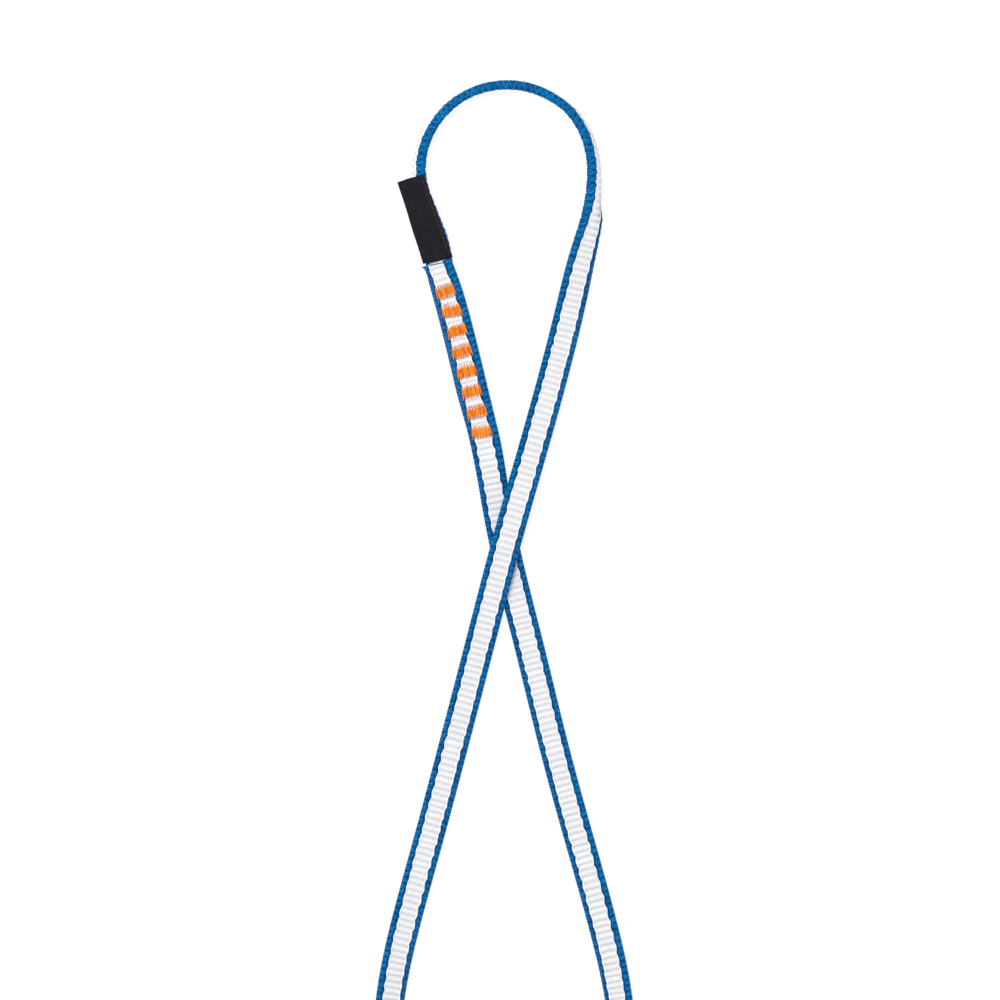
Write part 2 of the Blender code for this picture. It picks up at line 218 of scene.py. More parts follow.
def wander(at: Array, wavelength: float, seed: int) -> Array:
    """A smooth random line between -1 and 1.

    Random knots stand one wavelength apart, and between two of them the line goes from one to the other
    as a smooth step of the share of the way between them.

    Args:
        at: places along the line, 0 or more.
        wavelength: the distance between two knots.
        seed: which line it is.

    Returns:
        The line's value at each place.
    """
    share = np.asarray(at, float) / wavelength
    knots = np.random.default_rng(seed).uniform(-1.0, 1.0, int(share.max()) + 3)
    left = np.floor(share).astype(int)
    return knots[left] + (knots[left + 1] - knots[left]) * ease(share - left)


@dataclass
class Frames:
    """The webbing's own directions at some places along it, one row of each array per place."""

    middle: Array
    along: Array
    across: Array
    outwards: Array
    lean_degrees: Array
    bow: Array
    tuck: Array
    half_width: float

    def place(self, local: Array) -> Array:
        """Carries rings from the webbing's own directions into the row frame.

        Each point is middle + along * x + across * y + outwards * (z + bow * (1 - (y / half_width)^2)) +
        inwards * tuck * ease(-y / half_width), because webbing that stands on its edge bulges outwards at
        its middle and stands on a lower edge that is turned in under it.

        Args:
            local: rings of points, shaped (places, points, 3).

        Returns:
            The same rings in the row frame.
        """
        y = local[..., 1:2]
        share = np.clip(1.0 - (y / self.half_width) ** 2, 0.0, 1.0)
        inwards = np.cross(UP, self.along)[:, None]
        moved = local[..., 0:1] * self.along[:, None] + y * self.across[:, None]
        moved = moved + (local[..., 2:3] + self.bow[:, None, None] * share) * self.outwards[:, None]
        moved = moved + self.tuck[:, None, None] * ease(-y / self.half_width) * inwards
        return self.middle[:, None] + moved

    def place_along(self, rings: Array, along: Array) -> Array:
        """Carries rings whose first number is counted from the strip's start, one ring per place.

        Args:
            rings: rings of points, shaped (places, points, 3).
            along: each place's own distance along the strip.

        Returns:
            The same rings in the row frame.
        """
        own = rings.copy()
        own[..., 0] -= along[:, None]
        return self.place(own)

    def place_one(self, rings: Array) -> Array:
        """Carries a small thing's rings, which all belong to one place."""
        return self.place(rings.reshape(1, -1, 3)).reshape(rings.shape)


class Route:
    """The sling's closed route on the surface, read by the distance along it from the cut end."""

    def __init__(self, webbing: Webbing) -> None:
        """Lays a closed smooth curve through the route's points and scales it to the loop's length.

        Args:
            webbing: the webbing's sizes.
        """
        self.webbing = webbing
        rows = np.array(ROUTE_ROWS)
        points = rows[:, :2]
        chords = np.linalg.norm(np.roll(points, -1, axis=0) - points, axis=1)
        knots = np.concatenate([[0.0], np.cumsum(chords)])
        at = np.linspace(0.0, knots[-1], math.ceil(knots[-1] / webbing.curve_step) + 1)
        plan = self.smooth_bends(knots, points, at)
        plan -= (plan.min(axis=0) + plan.max(axis=0)) / 2
        run = np.concatenate([[0.0], np.cumsum(np.linalg.norm(np.diff(plan, axis=0), axis=1))])
        scale = webbing.loop_length / run[-1]
        self.run = run * scale
        self.plan = plan * scale
        self.lean = np.radians(self.steady(knots, rows[:, 2], at))
        self.lift = self.steady(knots, rows[:, 3], at)

    @staticmethod
    def smooth_bends(knots: Array, values: Array, at: Array) -> Array:
        """The closed cubic curve through the values, smooth in its bend.

        Its second derivatives solve before*b[i-1] + 2*(before+after)*b[i] + after*b[i+1] = 6*(change of
        slope), once round.

        Args:
            knots: places of the values, and the place that closes the round.
            values: the points that the curve goes through.
            at: places to read it at.

        Returns:
            The curve's points.
        """
        gaps = np.diff(knots)
        count = len(gaps)
        before = np.roll(gaps, 1)
        here = np.arange(count)
        system = np.zeros((count, count))
        system[here, here - 1] += before
        system[here, here] += 2 * (before + gaps)
        system[here, (here + 1) % count] += gaps
        slopes = (np.roll(values, -1, axis=0) - values) / gaps[:, None]
        bends = np.linalg.solve(system, 6 * (slopes - np.roll(slopes, 1, axis=0)))
        k = np.clip(np.searchsorted(knots, at, side="right") - 1, 0, count - 1)
        ahead = (k + 1) % count
        gap = gaps[k][:, None]
        past = (at - knots[k])[:, None]
        left = gap - past
        curved = (bends[k] * left**3 + bends[ahead] * past**3) / (6 * gap)
        start = (values[k] / gap - bends[k] * gap / 6) * left
        end = (values[ahead] / gap - bends[ahead] * gap / 6) * past
        return curved + start + end

    @staticmethod
    def steady(knots: Array, values: Array, at: Array) -> Array:
        """A closed smooth curve through the values that never runs past them.

        It is a cubic whose slope at each knot is a weighted harmonic mean of the slopes beside it, and 0
        where these differ in sign.

        Args:
            knots: places of the values, and the place that closes the round.
            values: one number per knot.
            at: places to read it at.

        Returns:
            The curve's value at each place.
        """
        gaps = np.diff(knots)
        slopes = (np.roll(values, -1) - values) / gaps
        slopes_before = np.roll(slopes, 1)
        gaps_before = np.roll(gaps, 1)
        weight_before = 2 * gaps + gaps_before
        weight_after = gaps + 2 * gaps_before
        same_way = slopes * slopes_before > 0
        safe_before = np.where(same_way, slopes_before, 1.0)
        safe_after = np.where(same_way, slopes, 1.0)
        mean = (weight_before + weight_after) / (weight_before / safe_before + weight_after / safe_after)
        tangents = np.where(same_way, mean, 0.0)
        k = np.clip(np.searchsorted(knots, at, side="right") - 1, 0, len(gaps) - 1)
        ahead = (k + 1) % len(gaps)
        t = (at - knots[k]) / gaps[k]
        ends = (2 * t**3 - 3 * t**2 + 1) * values[k] + (3 * t**2 - 2 * t**3) * values[ahead]
        turns = (t**3 - 2 * t**2 + t) * tangents[k] + (t**3 - t**2) * tangents[ahead]
        return ends + turns * gaps[k]

    def read(self, column: Array, distance: Array) -> Array:
        """One of the route's columns at these distances."""
        return np.interp(np.asarray(distance) % self.webbing.loop_length, self.run, column)

    def plan_at(self, distance: Array) -> Array:
        """The points of the plan, on the surface.

        Args:
            distance: distances along the route.

        Returns:
            One point at each.
        """
        x = self.read(self.plan[:, 0], distance)
        y = self.read(self.plan[:, 1], distance)
        return np.stack([x, y, np.zeros_like(x)], axis=-1)

    def layer(self, distance: Array) -> Frames:
        """The inner layer of webbing, which follows the route itself.

        The middle is edge_centre * |sin lean| + half the thickness + lift * layer_pitch above the surface.

        Args:
            distance: distances along the route.

        Returns:
            The webbing's middle and directions there.
        """
        distance = np.atleast_1d(np.asarray(distance, float))
        size = self.webbing
        ahead = self.plan_at(distance + size.curve_step)
        along = unit(ahead - self.plan_at(distance - size.curve_step))
        lean = self.read(self.lean, distance)[:, None]
        across = np.cross(UP, along) * np.cos(lean) + UP * np.sin(lean)
        resting = size.edge_centre * np.abs(np.sin(lean)) + size.thickness / 2
        height = resting + self.read(self.lift, distance)[:, None] * size.layer_pitch
        middle = self.plan_at(distance) + UP * height
        degrees = np.degrees(lean[:, 0])
        bow = size.bow * ease((degrees - size.bow_from_degrees) / size.bow_over_degrees)
        bow = bow * ease((size.bow_to_degrees - degrees) / size.bow_fade_degrees)
        tuck = size.tuck * ease((degrees - size.tuck_from_degrees) / size.tuck_over_degrees)
        tuck = tuck * ease((size.tuck_to_degrees - degrees) / size.tuck_over_degrees)
        outwards = np.cross(along, across)
        return Frames(middle, along, across, outwards, degrees, bow, tuck, size.bow_half_width)

    def strip(self, distance: Array) -> Frames:
        """The strip of webbing, whose first stretch lies on top of its own last stretch.

        The last stretch lies inner_shift further towards the lower edge and the first one front_shift
        further towards the raised edge, so that the leaning joint shows one edge above the other. Beside the
        label the strip comes out by up to label_shift.

        Args:
            distance: distances along the strip.

        Returns:
            The strip's middle and directions there.
        """
        frames = self.layer(distance)
        size = self.webbing
        at = np.atleast_1d(distance)
        on_top = 1.0 - ease((at - size.overlap - size.layer_pitch) / size.front_drop)
        frames.middle = frames.middle + frames.outwards * (size.layer_pitch * on_top)[:, None]
        begun = ease((at - size.loop_length + size.shift_lead) / size.shift_run)
        under = begun * ease((size.strip_length - at) / size.shift_end_run)
        beside = (1.0 - begun) * ease((at - size.loop_length) / size.label_shift_run + 1.0)
        shift = size.front_shift * on_top - size.inner_shift * under + size.label_shift * beside
        frames.middle = frames.middle + frames.across * shift[:, None]
        return frames


def swept(path: Array, way: float, wide: Array | float, thick: Array | float, sides: int) -> Array:
    """Rings round a thread's path: path + thick*cos(a)*N + wide*sin(a)*B.

    N is way * (0, 0, 1) made square to the path's direction T, and B = T x N.

    Args:
        path: points down the middle of the thread, shaped (rings, 3).
        way: 1 if out of the cloth is up here, and -1 if it is down.
        wide: half the thread's width, at each point or everywhere.
        thick: half its thickness, at each point or everywhere.
        sides: points in a ring.

    Returns:
        The rings, shaped (rings, sides, 3).
    """
    ahead = unit(np.gradient(path, axis=0))
    hint = way * UP
    flat = unit(hint - ahead * (hint * ahead).sum(axis=1, keepdims=True))
    side = np.cross(ahead, flat)
    angle = 2 * np.pi * np.arange(sides) / sides
    out = (np.asarray(thick) * np.ones(len(path)))[:, None] * np.cos(angle)
    over = (np.asarray(wide) * np.ones(len(path)))[:, None] * np.sin(angle)
    return path[:, None] + out[..., None] * flat[:, None] + over[..., None] * side[:, None]


class ThreadMesh:
    """Gathers threads, each a closed tube of rings, and makes one object of them.

    On the bake's map a column counts as 1 wide and the map is 1 high. Each length of thread keeps
    BAKE_SIDE_GAP free beside it and stands at BAKE_FOOT, and the end caps are small ellipses under it.
    """

    BAKE_SIDE_GAP = 0.06
    BAKE_WIDTH = 0.88
    BAKE_FOOT = 0.03
    BAKE_HEIGHT = 0.96
    CAP_MIDDLE = (0.5, 0.015)
    CAP_RADIUS = (0.3, 0.01)

    def __init__(self, name: str) -> None:
        """Starts with no threads.

        Args:
            name: the name of the object that they become.
        """
        self.name = name
        self.tubes: list[Array] = []
        self.tones: list[Array] = []
        self.lays: list[Array | None] = []

    def add(self, rings: Array, tone: Array | float = 1.0, lay: Array | None = None) -> None:
        """Takes one thread.

        Its tone is painted shade and highlight, 1 on the crowns and 0 in the grooves, and painted shade
        makes it lower on the thread's flanks than on its
        back: tone * (f + (1 - f) * cos(a)), where f is the flank shade share and the angle a starts on its
        back.

        Args:
            rings: the thread, shaped (rings, sides, 3), in the row frame.
            tone: one number per point, which is kept as it is, or one per ring, or one for all.
            lay: where each corner of its side faces lies on the thread map, if not as on a plain thread.
        """
        self.tubes.append(rings)
        self.lays.append(lay)
        count, sides = rings.shape[:2]
        if np.shape(tone) == (count, sides):
            self.tones.append(tone.ravel())
            return
        angle = 2 * np.pi * np.arange(sides) / sides
        # Painted shade: the flanks are painted darker than the back.
        round_it = FLANK_SHADE + (1.0 - FLANK_SHADE) * np.clip(np.cos(angle), 0.0, 1.0)
        self.tones.append(((tone * np.ones(count))[:, None] * round_it).ravel())

    @staticmethod
    def faces_of(rings: Array) -> tuple[Array, Array, Array]:
        """The side faces of one tube and its two end faces, turned outwards.

        Args:
            rings: the tube, shaped (rings, sides, 3).

        Returns:
            Corners of the side faces as (ring, side) pairs, shaped (faces, 4, 2), and of the two ends.
        """
        count, sides = rings.shape[:2]
        i, j = np.meshgrid(np.arange(count - 1), np.arange(sides), indexing="ij")
        corners = [(i, j), (i, j + 1), (i + 1, j + 1), (i + 1, j)]
        quads = np.stack([np.stack(c, axis=-1) for c in corners], axis=2).reshape(-1, 4, 2)
        around = np.arange(sides)
        first = np.stack([np.zeros(sides, int), around[::-1]], axis=-1)
        last = np.stack([np.full(sides, count - 1), around], axis=-1)
        a, b, c = (rings[quads[:, n, 0], quads[:, n, 1] % sides] - rings[0, 0] for n in (0, 1, 2))
        if (np.cross(a, b) * c).sum() < 0:
            quads, first, last = quads[:, ::-1], first[::-1], last[::-1]
        return quads, first, last

    def maps_of(self, rings: Array, quads: Array, number: int, columns: int) -> tuple[Array, Array]:
        """Where the side faces of one tube lie on the thread map and on the bake's map.

        On the thread map u goes round the thread and v along it, in millimetres, unless the tube brings a
        lay of its own. On the bake's map the tube is cut into lengths that stand side by side as columns.

        Args:
            rings: the tube.
            quads: its side faces as (ring, side) pairs.
            number: which tube of the piece it is.
            columns: columns per tube.

        Returns:
            One point per face corner on each map.
        """
        count, sides = rings.shape[:2]
        round_it = np.linalg.norm(np.roll(rings, -1, axis=1) - rings, axis=2).sum(axis=1).mean() / MM
        steps = np.linalg.norm(np.diff(rings.mean(axis=1), axis=0), axis=1)
        run = np.concatenate([[0.0], np.cumsum(steps)]) / MM
        u = quads[..., 1] / sides * round_it
        v = run[quads[..., 0]] + number * THREAD_STEP
        rows = math.ceil((count - 1) / columns)
        first_ring = quads[..., 0].min(axis=1)
        column = number * columns + first_ring // rows
        down = (quads[..., 0] - (first_ring // rows * rows)[:, None]) / rows
        over = self.BAKE_WIDTH * quads[..., 1] / sides
        x = (column[:, None] + self.BAKE_SIDE_GAP + over) / (columns * len(self.tubes))
        y = self.BAKE_FOOT + self.BAKE_HEIGHT * down
        on_thread = np.stack([u, v], -1)
        if self.lays[number] is not None:
            on_thread = self.lays[number].reshape(-1, 4, 2)
            on_thread = on_thread[:, ::-1] if quads[0, 0, 0] else on_thread
        return on_thread.reshape(-1, 2), np.stack([x, y], -1).reshape(-1, 2)

    def columns(self) -> int:
        """Columns per tube at which the bake's map stretches the threads least.

        It is the root of (length / girth / tubes), taken from the first tube.

        Returns:
            The number of columns, 1 or more.
        """
        rings = self.tubes[0]
        length = np.linalg.norm(np.diff(rings.mean(axis=1), axis=0), axis=1).sum()
        round_it = np.linalg.norm(np.roll(rings[0], -1, axis=0) - rings[0], axis=1).sum()
        return max(1, round(math.sqrt(length / (round_it * len(self.tubes)))))

    def make(self) -> bpy.types.Object:
        """Makes the object, smooth, with its two maps, and its origin at the row frame's.

        Returns:
            The new object.
        """
        columns = self.columns()
        corners, sizes, thread, bake = [], [], [], []
        start = 0
        for number, rings in enumerate(self.tubes):
            count, sides = rings.shape[:2]
            quads, first, last = self.faces_of(rings)
            on_thread, on_bake = self.maps_of(rings, quads, number, columns)
            for ends in (first, last):
                angle = 2 * np.pi * ends[:, 1] / sides
                circle = np.stack([np.cos(angle), np.sin(angle)], -1)
                cap = np.add((number, 0.0), self.CAP_MIDDLE) + self.CAP_RADIUS * circle
                on_bake = np.concatenate([on_bake, cap / (len(self.tubes), 1.0)])
                on_thread = np.concatenate([on_thread, circle])
            pairs = np.concatenate([quads.reshape(-1, 2), first, last])
            corners.append(start + pairs[:, 0] * sides + pairs[:, 1] % sides)
            sizes.append(np.concatenate([np.full(len(quads), 4), [sides, sides]]))
            thread.append(on_thread)
            bake.append(on_bake)
            start += count * sides
        points = np.concatenate([rings.reshape(-1, 3) for rings in self.tubes])
        return new_object(
            self.name,
            points,
            np.concatenate(corners),
            np.concatenate(sizes),
            {THREAD_MAP: np.concatenate(thread), BAKE_MAP: np.concatenate(bake)},
            np.concatenate(self.tones),
        )


def new_object(
    name: str, points: Array, corners: Array, sizes: Array, maps: dict[str, Array], tones: Array
) -> bpy.types.Object:
    """A smooth mesh object at the row frame's origin.

    Args:
        name: the piece's name.
        points: its vertices.
        corners: the vertex of each face corner, face after face.
        sizes: the number of corners of each face.
        maps: its UV maps by name, with one point per face corner.
        tones: the crown tone of each vertex.

    Returns:
        The new object.
    """
    mesh = bpy.data.meshes.new(name)
    mesh.vertices.add(len(points))
    mesh.vertices.foreach_set("co", points.astype(np.float32).ravel())
    mesh.loops.add(len(corners))
    mesh.loops.foreach_set("vertex_index", corners.astype(np.int32))
    mesh.polygons.add(len(sizes))
    starts = np.concatenate([[0], np.cumsum(sizes)[:-1]])
    mesh.polygons.foreach_set("loop_start", starts.astype(np.int32))
    mesh.update(calc_edges=True)
    for map_name, places in maps.items():
        layer = mesh.uv_layers.new(name=map_name)
        layer.uv.foreach_set("vector", places.astype(np.float32).ravel())
    crown = mesh.attributes.new(PAINTED_SHADE_AND_TONE, "FLOAT", "POINT")
    crown.data.foreach_set("value", tones.astype(np.float32))
    mesh.validate()
    mesh.polygons.foreach_set("use_smooth", np.ones(len(sizes), bool))
    made = bpy.data.objects.new(name, mesh)
    bpy.context.scene.collection.objects.link(made)
    return made


def plate(mid: Array, outwards: Array, thick: float) -> tuple[Array, Array]:
    """A thin sheet of even thickness round a grid of points, closed at its four edges.

    Args:
        mid: the middle surface, shaped (rows, columns, 3).
        outwards: the direction out of it at each point.
        thick: the sheet's thickness.

    Returns:
        Its points and its faces, four corners each.
    """
    rows, columns = mid.shape[:2]
    points = np.concatenate([mid + outwards * thick / 2, mid - outwards * thick / 2]).reshape(-1, 3)
    number = np.arange(rows * columns).reshape(rows, columns)
    lower = number + rows * columns
    top = np.stack([number[:-1, :-1], number[:-1, 1:], number[1:, 1:], number[1:, :-1]], -1)
    bottom = np.stack([lower[:-1, :-1], lower[1:, :-1], lower[1:, 1:], lower[:-1, 1:]], -1)
    ring = np.concatenate([number[0, :-1], number[:-1, -1], number[-1, :0:-1], number[:0:-1, 0]])
    after = np.roll(ring, -1)
    wall = np.stack([after, ring, ring + rows * columns, after + rows * columns], -1)
    return points, np.concatenate([top.reshape(-1, 4), bottom.reshape(-1, 4), wall])


class ShaderGroup:
    """Writes a shader node group node by node."""

    def __init__(self, name: str, inputs: dict[str, float], outputs: tuple[str, ...]) -> None:
        """Starts the group with its sockets.

        Args:
            name: the group's name.
            inputs: numbers that each material sets, with their usual values.
            outputs: names of the values that it puts out.
        """
        self.tree = bpy.data.node_groups.new(name, "ShaderNodeTree")
        self.tree.interface.new_socket("Vector", in_out="INPUT", socket_type="NodeSocketVector")
        for socket, usual in inputs.items():
            made = self.tree.interface.new_socket(socket, in_out="INPUT", socket_type="NodeSocketFloat")
            made.default_value = usual
        for socket in outputs:
            self.tree.interface.new_socket(socket, in_out="OUTPUT", socket_type="NodeSocketFloat")
        self.source = self.tree.nodes.new("NodeGroupInput")
        self.result = self.tree.nodes.new("NodeGroupOutput")

    def node(self, kind: str, values: dict[str, object], **settings: object) -> bpy.types.Node:
        """A new node, its sockets set to numbers or linked to other nodes' sockets."""
        return add_node(self.tree, kind, values, **settings)

    def value(self, name: str) -> bpy.types.NodeSocket:
        """One of the group's own inputs."""
        return self.source.outputs[name]

    def put_out(self, name: str, socket: bpy.types.NodeSocket) -> None:
        """Links a socket to one of the group's outputs."""
        self.tree.links.new(socket, self.result.inputs[name])


def add_node(
    tree: bpy.types.NodeTree, kind: str, values: dict[str, object], **settings: object
) -> bpy.types.Node:
    """A new node in a tree.

    Args:
        tree: the material's or group's tree.
        kind: the node's type.
        values: a number, colour or other node's socket for each input, by its name or number.
        settings: the node's own properties.

    Returns:
        The new node.
    """
    made = tree.nodes.new(kind)
    for name, value in settings.items():
        setattr(made, name, value)
    for name, value in values.items():
        socket = made.inputs[int(name) if name.isdigit() else name]
        if isinstance(value, bpy.types.NodeSocket):
            tree.links.new(value, socket)
        else:
            socket.default_value = value
    return made


def maths(tree: bpy.types.NodeTree, operation: str, first: object, second: object) -> bpy.types.NodeSocket:
    """The result of one sum of two numbers."""
    return add_node(tree, "ShaderNodeMath", {"0": first, "1": second}, operation=operation).outputs[0]


def fibre_group() -> bpy.types.NodeTree:
    """Fine filaments along a thread, with a slower change of tone from one length to the next.

    Shade is filaments * Contrast + drift * Drift about 1, and Height is the filaments alone, leaned round
    the thread by Twist.

    Returns:
        The node group.
    """
    group = ShaderGroup(
        "fibre_lay",
        {"Filaments": 14.0, "Stretch": 0.7, "Twist": 0.0, "Contrast": 0.2, "Drift": 0.1},
        ("Shade", "Height"),
    )
    tree = group.tree
    parts = group.node("ShaderNodeSeparateXYZ", {"Vector": group.value("Vector")})
    leaned = maths(tree, "MULTIPLY_ADD", parts.outputs[1], group.value("Twist"))
    tree.links.new(parts.outputs[0], leaned.node.inputs[2])
    across = maths(tree, "MULTIPLY", leaned, group.value("Filaments"))
    along = maths(tree, "MULTIPLY", parts.outputs[1], group.value("Stretch"))
    lay = group.node("ShaderNodeCombineXYZ", {"X": across, "Y": along})
    grain = group.node("ShaderNodeTexNoise", {"Vector": lay.outputs[0], "Scale": 1.0, "Detail": 3.0})
    slow = group.node(
        "ShaderNodeTexNoise", {"Vector": group.value("Vector"), "Scale": 0.45, "Detail": 2.0}
    )
    centred = maths(tree, "SUBTRACT", grain.outputs["Fac"], 0.5)
    drifting = maths(tree, "SUBTRACT", slow.outputs["Fac"], 0.5)
    fine = maths(tree, "MULTIPLY", centred, group.value("Contrast"))
    broad = maths(tree, "MULTIPLY", drifting, group.value("Drift"))
    total = maths(tree, "ADD", maths(tree, "ADD", fine, broad), 1.0)
    group.put_out("Shade", total)
    group.put_out("Height", grain.outputs["Fac"])
    return group.tree


def ribbon_group() -> bpy.types.NodeTree:
    """A fine plain weave on the thread map: threads along and across, over and under by turns.

    Height is |sin(u)| where the thread along lies on top and |sin(v)| elsewhere, and Shade follows it as
    painted shade, darker between the threads' tops, with a slow random tone.

    Returns:
        The node group.
    """
    group = ShaderGroup("ribbon_weave", {"Threads": 5.0, "Contrast": 0.3}, ("Shade", "Height"))
    tree = group.tree
    parts = group.node("ShaderNodeSeparateXYZ", {"Vector": group.value("Vector")})
    turns = maths(tree, "MULTIPLY", group.value("Threads"), math.pi)
    u = maths(tree, "MULTIPLY", parts.outputs[0], turns)
    v = maths(tree, "MULTIPLY", parts.outputs[1], turns)
    sine_u = group.node("ShaderNodeMath", {"0": u}, operation="SINE").outputs[0]
    sine_v = group.node("ShaderNodeMath", {"0": v}, operation="SINE").outputs[0]
    high_u = group.node("ShaderNodeMath", {"0": sine_u}, operation="ABSOLUTE").outputs[0]
    high_v = group.node("ShaderNodeMath", {"0": sine_v}, operation="ABSOLUTE").outputs[0]
    on_top = maths(tree, "GREATER_THAN", maths(tree, "MULTIPLY", sine_u, sine_v), 0.0)
    first = maths(tree, "MULTIPLY", high_u, on_top)
    second = maths(tree, "MULTIPLY", high_v, maths(tree, "SUBTRACT", 1.0, on_top))
    height = maths(tree, "ADD", first, second)
    slow = group.node(
        "ShaderNodeTexNoise", {"Vector": group.value("Vector"), "Scale": 0.6, "Detail": 3.0}
    )
    # Painted shade: the weave is darker between the threads' tops, with a slow random tone.
    uneven = maths(tree, "ADD", maths(tree, "MULTIPLY", height, 0.6), slow.outputs["Fac"])
    centred = maths(tree, "MULTIPLY", maths(tree, "SUBTRACT", uneven, 0.9), group.value("Contrast"))
    group.put_out("Shade", maths(tree, "ADD", centred, 1.0))
    group.put_out("Height", height)
    return group.tree


@dataclass(frozen=True)
class Finish:
    """A finish of fibre: its colour, how it shines and how its surface varies."""

    name: str
    group: str
    colour: tuple[float, float, float]
    # The colour at tone 0: painted shade, and the low end of any random tone.
    groove: tuple[float, float, float]
    roughness: float
    gloss: float
    lay: dict[str, float]
    bump: float
    bump_depth: float
    rough_change: float = 0.12

    def material(self) -> bpy.types.Material:
        """The finish's material, which is made once.

        Base Color goes from the finish's painted shade colour to its lit colour with the crown attribute's
        painted shade and highlight tone, times Shade.
        Roughness is roughness + rough_change * (Height - 0.5), and a Bump node takes Height.

        Returns:
            The material.
        """
        found = bpy.data.materials.get(self.name)
        if found:
            return found
        made = bpy.data.materials.new(self.name)
        made.use_nodes = True
        tree = made.node_tree
        shader = tree.nodes["Principled BSDF"]
        shader.inputs["Specular IOR Level"].default_value = self.gloss
        places = add_node(tree, "ShaderNodeUVMap", {}, uv_map=THREAD_MAP)
        lay = tree.nodes.new("ShaderNodeGroup")
        lay.node_tree = bpy.data.node_groups[self.group]
        tree.links.new(places.outputs[0], lay.inputs["Vector"])
        for socket, value in self.lay.items():
            lay.inputs[socket].default_value = value
        # Painted shade and highlight: the crown attribute mixes the shaded colour with the lit one.
        crown = add_node(tree, "ShaderNodeAttribute", {}, attribute_name=PAINTED_SHADE_AND_TONE)
        tone = add_node(
            tree,
            "ShaderNodeMix",
            {"0": crown.outputs["Fac"], "6": (*self.groove, 1.0), "7": (*self.colour, 1.0)},
            data_type="RGBA",
        )
        shaded = add_node(
            tree,
            "ShaderNodeVectorMath",
            {"0": tone.outputs[2], "Scale": lay.outputs["Shade"]},
            operation="SCALE",
        )
        tree.links.new(shaded.outputs[0], shader.inputs["Base Color"])
        centred = maths(tree, "SUBTRACT", lay.outputs["Height"], 0.5)
        change = maths(tree, "MULTIPLY", centred, self.rough_change)
        tree.links.new(maths(tree, "ADD", change, self.roughness), shader.inputs["Roughness"])
        bump = add_node(
            tree,
            "ShaderNodeBump",
            {"Height": lay.outputs["Height"], "Strength": self.bump, "Distance": self.bump_depth},
        )
        tree.links.new(bump.outputs[0], shader.inputs["Normal"])
        made.diffuse_color = (*self.colour, 1.0)
        return made


FIBRE = {"Filaments": 14.0, "Stretch": 0.7, "Contrast": 0.08, "Drift": 0.05}
# Each finish's second colour is painted shade for grooves, crossings, gaps and thread flanks; on the orange
# tacks it is also the low end of a random tone per stitch.
WHITE_FIBRE = Finish(
    "white_fibre", "fibre_lay", (0.99, 0.99, 0.99), (0.54, 0.545, 0.60), 0.5, 0.3, FIBRE, 0.3, 0.02 * MM
)
WHITE_MELT = Finish(
    "white_melted_fibre", "fibre_lay", (0.88, 0.88, 0.89), (0.70, 0.71, 0.76), 0.35, 0.4,
    {"Filaments": 2.0, "Stretch": 2.0, "Contrast": 0.12, "Drift": 0.1}, 0.5, 0.05 * MM,
)
BLUE_FIBRE = Finish(
    "blue_fibre", "fibre_lay", (0.002, 0.212, 0.565), (0.0, 0.008, 0.050), 0.38, 0.05,
    {"Filaments": 9.0, "Stretch": 0.9, "Contrast": 1.1, "Drift": 0.3}, 0.8, 0.05 * MM,
)
ORANGE_THREAD = Finish(
    "orange_thread", "fibre_lay", (0.93, 0.332, 0.022), (0.60, 0.048, 0.0), 0.42, 0.12,
    {"Filaments": 9.0, "Stretch": 0.9, "Twist": 1.1, "Contrast": 0.5, "Drift": 0.2}, 0.6, 0.03 * MM,
)
BLACK_RIBBON = Finish(
    "black_ribbon", "ribbon_weave", (0.0088, 0.0080, 0.0130), (0.004, 0.004, 0.006), 0.6, 0.1,
    {"Threads": 4.0, "Contrast": 1.7}, 0.5, 0.05 * MM,
)
DARK_THREAD = Finish(
    "dark_sewing_thread", "fibre_lay", (0.046, 0.016, 0.014), (0.01, 0.004, 0.004), 0.5, 0.3,
    {"Filaments": 9.0, "Stretch": 0.9, "Twist": 1.1, "Contrast": 0.5, "Drift": 0.3}, 0.5, 0.02 * MM,
)


def dress(piece: bpy.types.Object, finish: Finish, nodes: tuple[str, ...] = ()) -> None:
    """Gives a piece its finish and the CAD nodes that it stands for.

    Args:
        piece: the piece.
        finish: how it looks.
        nodes: the CAD nodes that it replaces.
    """
    piece.data.materials.append(finish.material())
    if nodes:
        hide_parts(*nodes)
    count = sum(len(face.vertices) - 2 for face in piece.data.polygons)
    LOG.info("%s: %d triangles", piece.name, count)


def thread_piece(
    mesh: ThreadMesh, finish: Finish, nodes: tuple[str, ...] = ()
) -> bpy.types.Object:
    """Makes a piece of its threads, dresses it and lets it ride on the sling.

    Args:
        mesh: its threads.
        finish: how it looks.
        nodes: the CAD nodes that it replaces.

    Returns:
        The piece.
    """
    made = mesh.make()
    dress(made, finish, nodes)
    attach(made, "sling")
    return made


